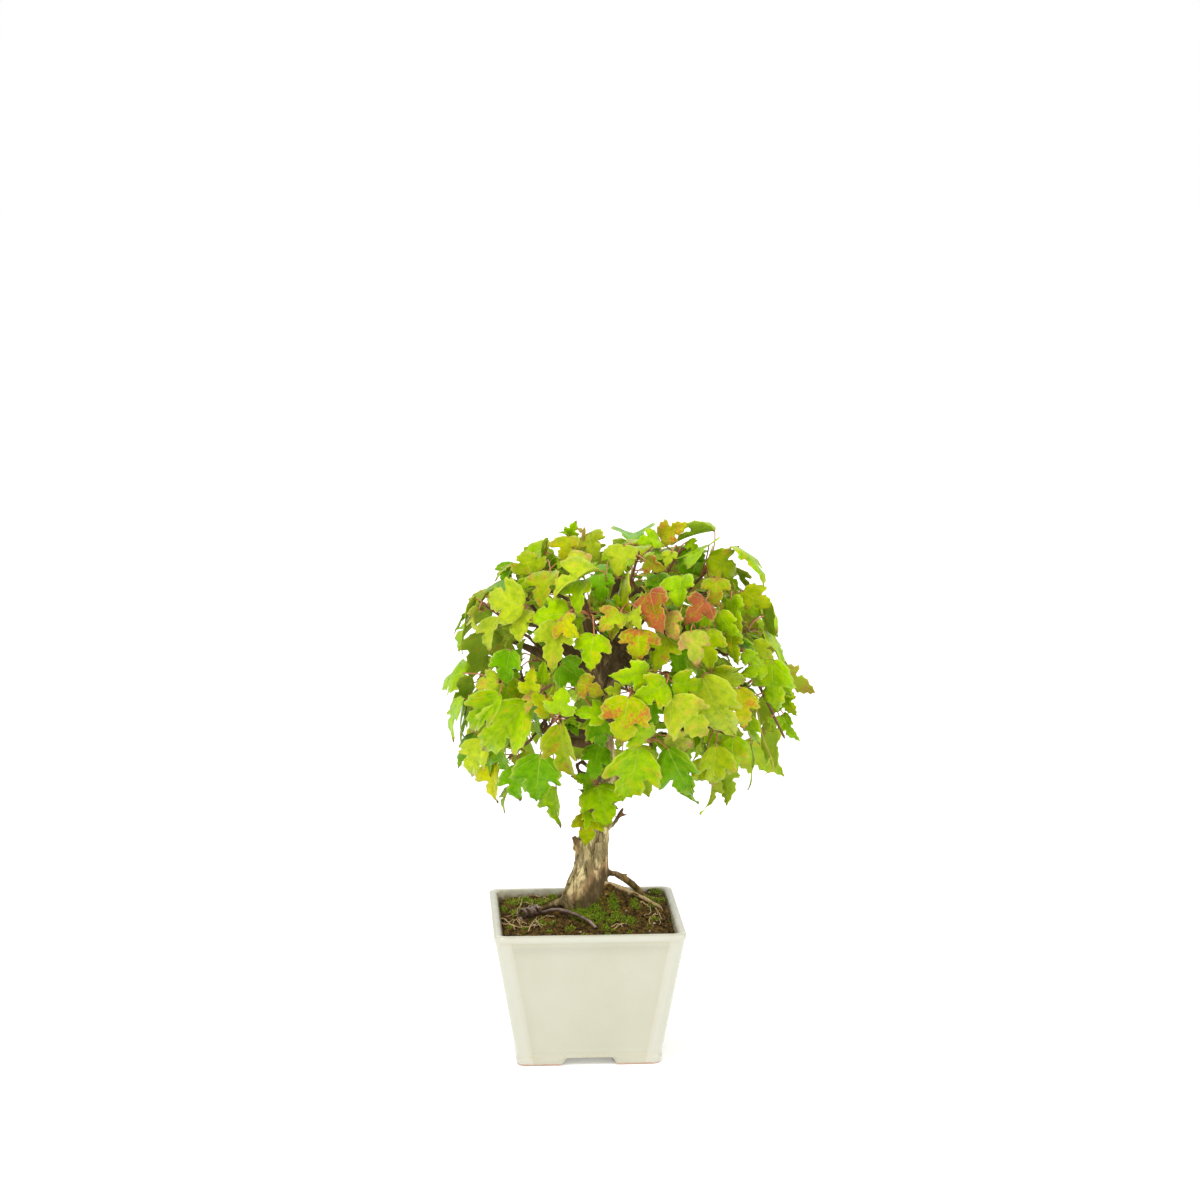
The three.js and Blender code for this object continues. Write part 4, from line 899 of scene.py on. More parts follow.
# How dark a place of the bark is: a dark streak from low at the left, and painted shade among the
# leaves, darkest up in the crown
def darkStreakAndShadeAt(p):
    u, v = seenAt(p)
    t = min(1, max(0, (u + v - 88) / 42))
    streak = math.exp(-(((u + 4 - 20 * t) ** 2 + (v - 92 - 22 * t) ** 2) / 90))
    return max(streak, 0.75 * min(1, max(0, (v - 190) / 25)))


def makeWood(material):
    mesh = remeshed("maple_wood", "wood", woodShape["voxel"])
    edges = meshEdges(mesh)
    rough = pointValues(mesh, "co")
    thick = np.clip((woodShape["trunkEdge"] - trunkShare(rough)) / woodShape["trunkMargin"], 0, 1)
    low = np.clip((woodShape["rootHeight"] - rough[:, 2]) / woodShape["rootMargin"], 0, 1)
    few, many = [rounded(rough, edges, woodShape[key]) for key in ("twigRounding", "rounding")]
    points = few + (many - few) * thick[:, None]
    setPoints(mesh, points)
    normals = pointValues(mesh, "normal")
    bark = np.zeros((len(points), 4))
    moved = points.copy()
    for i, p in enumerate(points):
        q = Vector(p) / mm
        along = Vector((q.x, q.y, q.z * 0.38))
        ridges = noise.turbulence(along * 0.22, 3, False, noise_basis="PERLIN_ORIGINAL") - 0.45
        plates = noise.cell(Vector((q.x * 0.3, q.y * 0.3, q.z * 0.16))) - 0.5
        soft = noise.noise(along * 0.9)
        relief = woodShape["relief"] * ridges + woodShape["plates"] * 0.5 * plates + 0.3 * soft
        twig = woodShape["twigRelief"] * (noise.noise(q * 0.8) + 1.5 * soft * low[i])
        moved[i] = p + normals[i] * (thick[i] * relief + (1 - thick[i]) * twig) * mm
        # The fourth channel holds the dark streak and the painted shade among the leaves
        bark[i] = (thick[i], low[i], min(1, max(0, 0.5 + 0.9 * ridges)), min(1, max(0, darkStreakAndShadeAt(p))))
    moved = moved + 0.35 * (rounded(moved, edges, 1) - moved)
    setPoints(mesh, moved)
    layer = mesh.attributes.new("bark", "FLOAT_COLOR", "POINT")
    layer.data.foreach_set("color", bark.astype(np.float32).ravel())
    mesh.materials.clear()
    mesh.materials.append(material)
    mesh.shade_smooth()
    piece = linked("maple_wood", mesh)
    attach(piece, "root")
    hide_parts("wood")
    print("maple_wood has", len(mesh.polygons), "faces")


barkLook = {
    "trunkDark": (0.62, 0.48, 0.21, 1),
    "trunkLight": (0.98, 0.82, 0.42, 1),
    "flake": (0.50, 0.30, 0.10, 1),
    "crack": (0.06, 0.036, 0.008, 1),
    "twigDark": (0.10, 0.045, 0.018, 1),
    "rust": (0.52, 0.30, 0.15, 1),
    "twigLight": (0.30, 0.16, 0.07, 1),
    "rootDark": (0.085, 0.05, 0.018, 1),
    "rootLight": (0.50, 0.32, 0.11, 1),
    # damp: the dark of the damp foot, laid also as painted shade on the trunk among the leaves
    "damp": (0.055, 0.040, 0.012, 1),
    "algae": (0.20, 0.19, 0.03, 1),
}


def barkMaterial():
    settings = {"Roughness": 0.85, "Specular IOR Level": 0.2}
    material, tree, shader, place = newMaterial("mapleBark", settings)
    bark = attribute(tree, "bark")
    trunkPart, rootPart, ridge = addNode(tree, "SeparateColor", {0: bark["Color"]}).outputs

    def stretched(amount):
        return addNode(tree, "Mapping", {"Vector": place, "Scale": (1.0, 1.0, amount)}).outputs[0]

    stretch = stretched(0.3)

    def skin(scale, dark, light, contrast=1.2):
        return mottled(tree, stretch, scale, barkLook[dark], barkLook[light], contrast)

    def cover(mask, name):
        return mixColour(tree, mask, colour, barkLook[name])

    trunk = skin(170.0, "trunkDark", "trunkLight", 1.8)
    twig = skin(240.0, "twigDark", "twigLight")["Color"]
    root = skin(200.0, "rootDark", "rootLight")["Color"]
    colour = trunk["Color"]
    flakes = cloudsAt(tree, stretch, 95.0, 7.0)["Fac"]
    colour = cover(rangeNode(tree, flakes, 0.57, 0.64, 0.0, 0.6), "flake")
    # cracks: the edges of bent cells, and long fissures where a stretched noise crosses its middle
    bent = cloudsAt(tree, stretch, 120.0, 4.0)["Color"]
    inputs = {0: bent, 1: (0.012, 0.012, 0.012), 2: stretch}
    wander = addNode(tree, "VectorMath", inputs, operation="MULTIPLY_ADD").outputs[0]
    inputs = {"Vector": wander, "Scale": 240.0, "Randomness": 1.0}
    cells = addNode(tree, "TexVoronoi", inputs, feature="DISTANCE_TO_EDGE").outputs["Distance"]
    lines = cloudsAt(tree, stretched(0.2), 175.0, 4.0, bend=0.5)["Fac"]
    edge = mathNode(tree, "ABSOLUTE", mathNode(tree, "SUBTRACT", lines, 0.5))
    cell = rangeNode(tree, cells, 0.0, 0.1, 0.4, 0.0)
    crack = mathNode(tree, "MAXIMUM", rangeNode(tree, edge, 0.0, 0.03, 0.92, 0.0), cell)
    colour = cover(crack, "crack")
    colour = mixColour(tree, trunkPart, mixColour(tree, rootPart, twig, root), colour)
    colour = cover(rangeNode(tree, ridge, 0.05, 0.36, 0.6, 0.0), "crack")
    damp = stained(tree, place, 0.098, 0.117, 0.03, 90.0)
    ragged = cloudsAt(tree, stretch, 190.0, 6.0, 0.75)["Fac"]
    # The bark's alpha is the dark streak and the painted shade among the leaves, and the rust edge and
    # the dark patch below follow it
    level = mathNode(tree, "MULTIPLY_ADD", ragged, 1.8, bark["Alpha"])
    colour = cover(times(tree, rangeNode(tree, level, 1.0, 1.3, 0.0, 0.5), trunkPart), "rust")
    streakAndShade = rangeNode(tree, level, 1.15, 1.8, 0.0, 0.84)
    # The damp colour covers the damp band at the foot and the dark patch, which among the leaves is
    # painted shade
    colour = cover(mathNode(tree, "MAXIMUM", times(tree, damp, 0.5), streakAndShade), "damp")
    colour = cover(times(tree, damp, rangeNode(tree, flakes, 0.42, 0.5, 0.5, 0.0)), "algae")
    tree.links.new(colour, shader.inputs["Base Color"])
    height = mathNode(tree, "SUBTRACT", trunk["Mask"], times(tree, crack, trunkPart))
    addBump(tree, shader, height, 0.0005, 0.7)
    return material


makeWood(barkMaterial())


# Wire: the CAD coil remeshed fine and rounded

wireShape = {"voxel": 0.36, "rounding": 14}


def wireMaterial():
    settings = {"Metallic": 0.3, "Roughness": 0.34, "Coat Weight": 0.25}
    material, tree, shader, place = newMaterial("brownWire", settings)
    skin = mottled(tree, place, 180.0, (0.075, 0.044, 0.034, 1), (0.28, 0.19, 0.15, 1))
    tree.links.new(skin["Color"], shader.inputs["Base Color"])
    tree.links.new(rangeNode(tree, skin["Mask"], 0.0, 1.0, 0.26, 0.5), shader.inputs["Roughness"])
    return material


def makeWire(material):
    mesh = remeshed("training_wire", "root_wire", wireShape["voxel"])
    setPoints(mesh, rounded(pointValues(mesh, "co"), meshEdges(mesh), wireShape["rounding"]))
    mesh.materials.clear()
    mesh.materials.append(material)
    mesh.shade_smooth()
    piece = linked("training_wire", mesh)
    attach(piece, "root")
    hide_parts("root_wire")
    print("training_wire has", len(mesh.polygons), "faces")


makeWire(wireMaterial())
print("wood and wire done")


# Leaves. Each CAD blade is a fan round a point on its midrib. Its corners give the surface that
# the fine leaf is laid on: x runs along the midrib and y out from it, in leaf lengths.

bladeCorners = {
    "front": [
        (0, 0), (-0.04, -0.25), (0.37, -0.5), (0.47, -0.23), (0.72, -0.2), (1, 0),
        (0.72, 0.2), (0.47, 0.23), (0.37, 0.5), (-0.04, 0.25),
    ],
    "back": [
        (0, 0), (-0.04, -0.25), (0.37, -0.5), (0.54, -0.22), (1, 0), (0.54, 0.22), (0.37, 0.5),
        (-0.04, 0.25),
    ],
}
bladeMiddle = 0.42
# How well the corners have to fit, in metres, and how many may be lacking or over
bladeFit = {"error": 0.00016, "arch": 0.00015, "over": 5, "lackingFront": 2, "lackingBack": 1}


def bladeTerms(x, y):
    return [1, x, y, 4 * x * (1 - x), abs(y)]


def onBlade(surface, x, y):
    return Vector(np.array(bladeTerms(x, y)) @ surface)


def fitBlade(corners, places, middle):
    rows = [bladeTerms(*p) for p in places if p != (0, 0)] + [bladeTerms(bladeMiddle, 0)]
    goal = np.array([tuple(v.co) for v, p in zip(corners, places) if p != (0, 0)] + [tuple(middle.co)])
    surface = np.linalg.lstsq(np.array(rows, dtype=float), goal, rcond=None)[0]
    return float(np.abs(np.array(rows) @ surface - goal).max()), surface


# The surface through a ring of corners, by every way of matching them to the outline
def bestFit(ring, middle, outline):
    if len(outline) >= len(ring):
        kept = combinations(range(1, len(outline)), len(ring) - 1)
        choices = [(ring, [outline[0], *[outline[k] for k in keep]]) for keep in kept]
    else:
        kept = combinations(range(len(ring)), len(outline))
        choices = [([ring[k] for k in keep], outline) for keep in kept]
    best = None
    for corners, places in choices:
        for turn in range(len(places)):
            turned = places[turn:] + places[:turn]
            error, surface = fitBlade(corners, turned, middle)
            if best is None or error < best[0]:
                best = error, surface, corners[turned.index((0, 0))]
    return best


# The corners round a point in the order of its faces
def ringRound(v):
    after = {loop.link_loop_next.vert: loop.link_loop_prev.vert for loop in v.link_loops}
    ring = [next(iter(after))]
    while len(ring) < len(after):
        ring.append(after.get(ring[-1], ring[0]))
    return ring


def findBlades(name):
    side, lacking = ("front", "lackingFront") if "front" in name else ("back", "lackingBack")
    outline = bladeCorners[side]
    bm = nodeCopy(name)
    blades = []
    for v in bm.verts:
        over = len(v.link_loops) - len(outline)
        if over < -bladeFit[lacking] or over > bladeFit["over"]:
            continue
        ring = ringRound(v)
        if len(set(ring)) < len(ring):
            continue
        error, surface, base = bestFit(ring, v, outline)
        ahead = Vector(surface[1])
        normal = Vector(np.cross(surface[1], surface[2])).normalized()
        upperSide = Vector(surface[3]).dot(normal) >= bladeFit["arch"]
        if error > bladeFit["error"] or not upperSide:
            continue
        ends = [e.other_vert(base) for e in base.link_edges]
        ends = [o for o in ends if o is not v and o not in ring]
        end = max(ends, key=lambda o: (o.co - base.co).length) if ends else None
        blades.append(
            {
                "surface": surface,
                "normal": normal,
                "length": ahead.length,
                "end": end.co.copy() if end else base.co - ahead.normalized() * 4 * mm,
                "points": [v.co.copy(), *[o.co.copy() for o in ring]],
            }
        )
    stem = findStem(bm, blades)
    bm.free()
    return blades, stem


# The shoot that the stalks of a spray meet on: its two ends, the inner one first
def findStem(bm, blades):
    near = np.array([tuple(p) for blade in blades for p in blade["points"]])
    points = [tuple(v.co) for v in bm.verts]
    rest = np.array([p for p in points if np.linalg.norm(near - np.array(p), axis=1).min() > 1.25 * mm])
    middle = rest.mean(axis=0)
    way = np.linalg.svd(rest - middle)[2][0]
    along = (rest - middle) @ way
    ends = [Vector(middle + way * along.min()), Vector(middle + way * along.max())]
    heart = placed(onTree(11, min(250, max(170, seenAt(ends[0])[1] - 6)), 0))
    ends.sort(key=lambda p: (p - heart).length)
    return ends


# Leaf colours: body, the colour it turns in patches, and how much of it has turned
leafTones = {
    "green": ((0.275, 0.465, 0.0), (0.40, 0.36, 0.002), 0.16),
    "bright": ((0.315, 0.50, 0.0), (0.42, 0.41, 0.004), 0.12),
    "pale": ((0.39, 0.48, 0.015), (0.45, 0.34, 0.04), 0.16),
    "yellowGreen": ((0.38, 0.46, 0.0), (0.46, 0.34, 0.01), 0.18),
    # dark: a deep green, partly painted shade for leaves that lie in shade inside the crown
    "dark": ((0.135, 0.335, 0.0), (0.23, 0.31, 0.001), 0.10),
    "teal": ((0.17, 0.38, 0.004), (0.28, 0.38, 0.003), 0.10),
    "olive": ((0.29, 0.38, 0.001), (0.36, 0.19, 0.02), 0.20),
    "oliveRed": ((0.34, 0.43, 0.005), (0.40, 0.14, 0.04), 0.28),
    "yellow": ((0.48, 0.49, 0.0), (0.48, 0.25, 0.02), 0.18),
    "orange": ((0.42, 0.43, 0.005), (0.48, 0.18, 0.035), 0.28),
    "orangeTip": ((0.32, 0.49, 0.0), (0.50, 0.26, 0.03), 0.12),
    "yellowRed": ((0.37, 0.44, 0.0), (0.44, 0.11, 0.03), 0.29),
    "pink": ((0.41, 0.47, 0.02), (0.48, 0.22, 0.09), 0.31),
    "palePink": ((0.42, 0.46, 0.04), (0.48, 0.22, 0.12), 0.34),
    "red": ((0.40, 0.25, 0.012), (0.46, 0.07, 0.05), 0.46),
    "brownRed": ((0.30, 0.30, 0.008), (0.36, 0.09, 0.03), 0.36),
    "dead": ((0.21, 0.16, 0.03), (0.20, 0.08, 0.03), 0.36),
}
# Leaves that differ from the green ones, by where the middle of the blade is seen
toneSeen = {
    "pink": [(-3, 353), (-3, 333), (59, 288)],
    "yellowGreen": [(-12, 342), (30, 305), (-30, 234)],
    "pale": [
        (5, 345), (-73, 294), (-63, 284), (-53, 305), (-21, 277), (-5, 318), (25, 335), (58, 336),
        (37, 295), (66, 291), (19, 242), (91, 237), (-21, 238), (-30, 245), (-67, 248),
    ],
    "oliveRed": [(-40, 331), (18, 292)],
    "olive": [(-53, 325), (93, 331), (90, 313), (85, 273), (54, 270), (121, 272), (-13, 205), (89, 194)],
    # Leaves that are dark, their deep green partly painted shade
    "dark": [
        (-52, 326), (11, 316), (71, 333), (51, 318), (92, 283), (64, 266), (27, 245), (90, 217),
        (43, 230), (10, 217), (-8, 256), (-53, 262), (-64, 195), (-50, 211), (7, 196), (0, 182),
        (-82, 229),
    ],
    "yellow": [(-12, 287), (109, 233), (-62, 182), (-15, 268)],
    "bright": [(-23, 295), (4, 272), (117, 258), (46, 244), (-17, 235), (33, 255)],
    "brownRed": [(48, 331)],
    "orange": [(60, 354)],
    "red": [(49, 300), (77, 298)],
    "dead": [(108, 289)],
    "palePink": [(75, 274), (64, 210)],
    "yellowRed": [(37, 277), (27, 226)],
    "orangeTip": [(-52, 222)],
    "teal": [(-57, 197)],
}
toneReach = 6.0  # millimetres between the noted middle and the leaf's own
# Tones of the other leaves, to draw from
otherTones = [*["green"] * 9, *["bright"] * 4, "pale", "dark", "dark", "olive", "olive"]
otherTones += ["yellowGreen", "yellowGreen"]
backTones = otherTones + ["yellow", "oliveRed", "orangeTip"]
# The dark young leaves fill the crown's inside, their deep green partly painted shade
youngTones = ["green"] * 6 + ["dark"] * 4 + ["bright"] * 3 + ["olive", "pink", "yellowGreen"]
tonesOfSlot = {
    "leaf_green": ["green", "bright", "dark", "teal"],
    "leaf_pale": ["pale"],
    "leaf_yellow": ["yellowGreen", "yellow"],
    "leaf_olive": ["olive", "oliveRed"],
    "leaf_orange": ["orange", "orangeTip", "yellowRed"],
    "leaf_pink": ["pink", "palePink"],
    "leaf_red": ["red", "brownRed", "dead"],
}
slotOfTone = {tone: slot for slot, tones in tonesOfSlot.items() for tone in tones}

leafShape = {
    # along the midrib, then the edge's place along and out, from the stalk to the tip
    "rows": [
        (0.0, 0.004, 0.012), (0.02, -0.02, 0.11), (0.06, -0.01, 0.21), (0.105, 0.035, 0.31),
        (0.16, 0.10, 0.39), (0.215, 0.18, 0.445), (0.27, 0.275, 0.485), (0.31, 0.365, 0.51),
        (0.345, 0.44, 0.515), (0.37, 0.495, 0.48), (0.39, 0.485, 0.40), (0.415, 0.46, 0.31),
        (0.445, 0.445, 0.235), (0.50, 0.50, 0.215), (0.57, 0.575, 0.255), (0.65, 0.66, 0.26),
        (0.735, 0.745, 0.215), (0.815, 0.83, 0.155), (0.89, 0.905, 0.095), (0.96, 0.965, 0.042),
        (1.03, 1.03, 0.003),
    ],
    "across": 4,
    "sunk": 0.3,
    "thick": 0.36,
    "ripple": 0.03,
    "ragged": 0.012,
    "tooth": 0.02,
    "teeth": 23,
    "seed": 23,
    # the crown's middle line as it is seen, and how far out from it the rim's leaves begin
    "crownMiddle": 8,
    "rimFrom": 84,
}
# How leaves vary, in the order of the draws, and what differs at the crown's rim
leafRanges = {
    "wave": (0.4, 1.2),
    "phase": (0, 6.28),
    "droop": (0, 2.2),
    "fold": (0.1, 0.6),
    "bend": (-0.05, 0.05),
    "rightLobe": (-0.16, 0.02),
    "leftLobe": (-0.16, 0.02),
    "notch": (-0.04, 0.04),
    "slim": (0.86, 1.02),
}
rimRanges = {"fold": (-0.1, 0.15), "slim": (0.68, 0.82)}


def vary(leaf, draw):
    rim = abs(seenAt(leaf["surface"][0])[0] - leafShape["crownMiddle"]) > leafShape["rimFrom"]
    leaf["shade"] = draw.uniform(0.88, 1.12)
    leaf["turned"] = draw.gauss(0, 0.07)
    for key, limits in leafRanges.items():
        leaf[key] = draw.uniform(*(rimRanges.get(key, limits) if rim else limits))
    leaf["teeth"] = [draw.uniform(-1, 1) * leafShape["ragged"] for _ in range(leafShape["teeth"])]
    leaf["stalkTone"] = draw.uniform(0.32, 0.72)


# Points of a leaf by their row and their share from the midrib out to the edge
def leafPoint(leaf, row, share):
    low = min(int(row), len(leafShape["rows"]) - 2)
    ends = zip(leafShape["rows"][low], leafShape["rows"][low + 1])
    mid, along, out = [p + (q - p) * (row - low) for p, q in ends]
    far = abs(share)
    lobe = leaf["leftLobe" if share > 0 else "rightLobe"]
    x = mid + (along - mid) * far**1.35
    out *= leaf["slim"] * (1 + lobe * math.exp(-(((along - 0.38) / 0.12) ** 2)))
    out += leaf["notch"] * math.exp(-(((mid - 0.46) / 0.05) ** 2))
    tooth = leaf["teeth"][row % len(leaf["teeth"])]
    tooth += leafShape["tooth"] * (-1) ** row * (0.1 < mid < 0.95)
    x += 0.4 * max(0, tooth) * far**2
    y = math.copysign((out + tooth * far**2) * far, share)
    y += leaf["bend"] * x * x
    lift = leafShape["ripple"] * leaf["length"] * leaf["wave"]
    rise = math.sin(11 * x + leaf["phase"]) * far * 0.9 + math.sin(5 * share + leaf["phase"] * 2) * 0.4
    rise -= 2.4 * max(0, x - 0.7) * leaf["droop"] + 1.3 * max(0, far - 0.6) * leaf["droop"]
    height = lift * rise - leafShape["sunk"] * mm + math.sin(leaf["fold"]) * abs(y) * leaf["length"]
    return onBlade(leaf["surface"], x, y * math.cos(leaf["fold"])) + leaf["normal"] * height, x, y


def addLeaf(bm, leaf, layers):
    rows = len(leafShape["rows"]) - 1
    across = leafShape["across"]
    grid = bmesh.ops.create_grid(bm, x_segments=rows, y_segments=across, size=1, calc_uvs=False)
    body, turned, reach = leafTones[leaf["tone"]]
    for v in grid["verts"]:
        row = round((v.co.x + 1) / 2 * rows)
        share = round((v.co.y + 1) / 2 * across) / across * 2 - 1
        point, x, y = leafPoint(leaf, row, share)
        v.co = inBox(point, 0.35 * mm)
        v[layers["tone"]] = [leaf["shade"] * c for c in body] + [abs(share)]
        v[layers["turned"]] = [leaf["shade"] * c for c in turned] + [1]
        v[layers["where"]] = (x, y, reach + leaf["turned"])


def addStalk(bm, leaf, stem, tone):
    base = onBlade(leaf["surface"], 0, 0) - leaf["normal"] * 0.35 * mm
    inner = base + Vector(leaf["surface"][1]).normalized() * 1.2 * mm
    way = stem[1] - stem[0]
    t = min(1, max(0, (leaf["end"] - stem[0]).dot(way) / way.length_squared))
    end = stem[0] + way * t
    reach = (end - base).length
    bend = base + (end - base) * 0.5 + (base - inner).normalized() * 0.12 * reach
    bend += Vector((0, 0, 1)) * 0.05 * reach
    points = curved([inner, base, bend, end], 3)
    last = len(points) - 1
    radii = [(0.44 + 0.24 * (i / last) ** 3 + 0.08 * (i < 3)) * mm for i in range(last + 1)]
    for v in addTube(bm, points, radii, 5):
        v[tone] = leaf["stalkTone"]


# The long bare stalk that hangs at the right of the crown, as it is seen
bareStalk = [
    (111, 240, 4), (118.5, 230, 10), (121, 218, 16), (124, 208, 20), (129, 196, 23),
    (129.5, 190, 24), (124, 186, 24),
]


def addBareStalk(bm, tone):
    points = curved([placed(onTree(*p)) for p in bareStalk], 5)
    last = len(points) - 1
    radii = [(0.75 - 0.4 * i / last) * mm for i in range(last + 1)]
    for v in addTube(bm, points, radii, 6):
        v[tone] = 0.9


shootShape = {"sunk": 1.6, "steps": 9, "base": 1.12, "taper": 0.32, "node": 0.22, "slim": 0.95}
shootTip = [(1.0, 0.95), (2.4, 0.7), (3.6, 0.12)]  # beyond the end, and the radius there


def addShoot(bm, stem, tone, draw):
    way = (stem[1] - stem[0]).normalized()
    length = (stem[1] - stem[0]).length + shootShape["sunk"] * mm
    start = stem[0] - way * shootShape["sunk"] * mm
    points, radii = [], []
    for i in range(shootShape["steps"] + 1):
        t = i / shootShape["steps"]
        points.append(start + way * length * t)
        node = 1 + shootShape["node"] * math.exp(-(((t * 4 + 0.5) % 1 - 0.5) ** 2) * 22)
        radii.append((shootShape["base"] - shootShape["taper"] * t) * node * mm * shootShape["slim"])
    end = points[-1]
    points += [end + way * far * mm for far, _ in shootTip]
    radii += [radius * mm for _, radius in shootTip]
    for v in addTube(bm, points, radii, 7):
        v[tone] = 0.02 + 0.1 * draw.random()


def toneOf(leaf, front, draw):
    if not front:
        return draw.choice(backTones)
    u, v = seenAt(onBlade(leaf["surface"], bladeMiddle, 0))
    spots = [(math.hypot(u - a, v - b), tone) for tone, seen in toneSeen.items() for a, b in seen]
    far, tone = min(spots)
    return tone if far < toneReach else draw.choice(otherTones)


youngLeaves = {
    "perShoot": 6,
    "short": 9.0,
    "long": 17.0,
    "stalk": 6.0,
    "wide": 0.95,
    "arch": (0.04, 0.14),
    "fold": (-0.1, 0.25),
    "heart": (0, 0, 215),
}


# Small leaves low on a shoot, which fill the crown between the large ones
def addYoung(blades, stem, draw):
    top = Vector((0, 0, 1))
    way = (stem[1] - stem[0]).normalized()
    out = (stem[1] - placed(youngLeaves["heart"])).normalized()
    for _ in range(youngLeaves["perShoot"]):
        base = stem[0] + (stem[1] - stem[0]) * draw.uniform(-0.1, 0.85)
        side = Vector([draw.gauss(0, 1) for _ in range(3)])
        side = (side - way * side.dot(way)).normalized()
        ahead = (side + out * 0.5 + Vector((0, 0, draw.uniform(-0.9, 0.2)))).normalized()
        stalk = (side + Vector((0, 0, 0.35))).normalized() * youngLeaves["stalk"]
        start = base + stalk * draw.uniform(0.6, 1.4) * mm
        up = (top + out * 0.8 + Vector([draw.gauss(0, 0.35) for _ in range(3)])).normalized()
        up = (up - ahead * up.dot(ahead)).normalized()
        length = draw.uniform(youngLeaves["short"], youngLeaves["long"]) * mm
        across = up.cross(ahead) * length * youngLeaves["wide"]
        rises = [up * length * draw.uniform(*youngLeaves[key]) for key in ("arch", "fold")]
        surface = np.array([tuple(row) for row in (start, ahead * length, across, *rises)])
        blades.append({"surface": surface, "normal": up, "length": length, "end": base, "young": True})


def makeVeins():
    usual = {"Along": 0.0, "Out": 0.0}
    group, given, out = newGroup("leafVeins", usual, {"Mask": "Float", "Fine": "Float"})
    x, y = given["Along"], mathNode(group, "ABSOLUTE", given["Out"])

    # a line that fades over a width
    def line(distance, width):
        return mathNode(group, "SUBTRACT", 1.0, mathNode(group, "DIVIDE", distance, width), clamp=True)

    middle = line(y, rangeNode(group, x, 0.0, 1.0, 0.022, 0.007))
    # the main vein of each side lobe, from the stalk to the lobe's tip
    cross = mathNode(group, "SUBTRACT", times(group, x, 0.80), times(group, y, 0.60))
    side = line(mathNode(group, "ABSOLUTE", cross), 0.014)
    side = times(group, side, rangeNode(group, x, 0.36, 0.42, 1.0, 0.0))
    slant = mathNode(group, "SUBTRACT", x, times(group, y, 0.75))
    wave = mathNode(group, "PINGPONG", times(group, slant, 9.0), 0.5)
    fine = rangeNode(group, wave, 0.0, 0.1, 1.0, 0.0)
    fine = times(group, fine, rangeNode(group, y, 0.0, 0.3, 0.6, 0.15))
    group.links.new(mathNode(group, "MAXIMUM", middle, side), out["Mask"])
    group.links.new(fine, out["Fine"])
    return group


# How far a leaf has turned colour: most at its edge and tip, in clouds that differ from leaf to leaf
def makeTurning():
    usual = {"Vector": None, "Along": 0.0, "Out": 0.0, "Amount": 0.0}
    group, given, out = newGroup("turning", usual, {"Mask": "Float", "Rim": "Float"})
    clouds = cloudsAt(group, given["Vector"], 100.0, 5.0, 0.6)["Fac"]
    specks = cloudsAt(group, given["Vector"], 620.0, 3.0)["Fac"]
    edge = times(group, mathNode(group, "ABSOLUTE", given["Out"]), 0.42)
    tip = times(group, mathNode(group, "SUBTRACT", given["Along"], 0.6, clamp=True), 0.45)
    level = mathNode(group, "ADD", times(group, clouds, 1.4), given["Amount"])
    level = mathNode(group, "ADD", level, mathNode(group, "MAXIMUM", edge, tip))
    level = mathNode(group, "ADD", level, times(group, specks, 0.8))
    group.links.new(rangeNode(group, level, 1.38, 1.72, 0.0, 0.92), out["Mask"])
    group.links.new(rangeNode(group, level, 1.62, 1.85, 0.0, 1.0), out["Rim"])
    return group


veins = makeVeins()
turning = makeTurning()

leafLook = {
    "vein": (0.62, 0.66, 0.12, 1),
    "rim": (0.20, 0.07, 0.02, 1),
    "dry": (0.26, 0.13, 0.035, 1),
    "under": (0.48, 0.58, 0.08, 1),
    "patchDark": (0.62, 0.74, 0.6, 1),
    "patchLight": (1.24, 1.16, 1.0, 1),
}


def leafMaterial(name, under):
    settings = {
        "Roughness": 0.65 if under else 0.3,
        "IOR": 1.42,
        "Specular IOR Level": 0.12 if under else 0.38,
        "Specular Tint": (0.6, 0.95, 0.06, 1),
        "Subsurface Weight": 0.15,
        "Subsurface Scale": 0.001,
        "Subsurface Radius": (0.8, 1.0, 0.05),
    }
    material, tree, shader, place = newMaterial(name, settings)
    body = attribute(tree, "tone")
    along, out, amount = addNode(tree, "SeparateXYZ", {0: attribute(tree, "where")["Vector"]}).outputs
    lines = useGroup(tree, veins, {"Along": along, "Out": out})
    turn = useGroup(tree, turning, {"Vector": place, "Along": along, "Out": out, "Amount": amount})
    colour = mixColour(tree, turn["Mask"], body["Color"], attribute(tree, "turned")["Color"])
    colour = mixColour(tree, times(tree, turn["Rim"], 0.35), colour, leafLook["rim"])
    patches = mottled(tree, place, 200.0, leafLook["patchDark"], leafLook["patchLight"], 0.9)
    colour = mixColour(tree, 1.0, colour, patches["Color"], "MULTIPLY")
    veinTone = mixColour(tree, 0.55, colour, leafLook["vein"])
    colour = mixColour(tree, times(tree, lines["Mask"], 0.6), colour, veinTone)
    colour = mixColour(tree, times(tree, lines["Fine"], 0.3), colour, veinTone)
    colour = mixColour(tree, rangeNode(tree, body["Alpha"], 0.82, 1.0, 0.0, 0.7), colour, veinTone)
    some = rangeNode(tree, cloudsAt(tree, place, 36.0, 1.0)["Fac"], 0.5, 0.56)
    dry = times(tree, rangeNode(tree, along, 0.86, 0.98, 0.0, 0.9), some)
    colour = mixColour(tree, dry, colour, leafLook["dry"])
    if under:
        colour = mixColour(tree, 0.35, colour, leafLook["under"])
    tree.links.new(colour, shader.inputs["Base Color"])
    shine = (0.55, 0.75) if under else (0.22, 0.46)
    tree.links.new(rangeNode(tree, patches["Mask"], 0.0, 1.0, *shine), shader.inputs["Roughness"])
    height = mathNode(tree, "ADD", lines["Mask"], times(tree, lines["Fine"], 0.8))
    height = times(tree, height, 1.0 if under else -1.0)
    height = mathNode(tree, "ADD", height, times(tree, patches["Mask"], 0.8))
    addBump(tree, shader, height, 0.0003, 0.8)
    return material


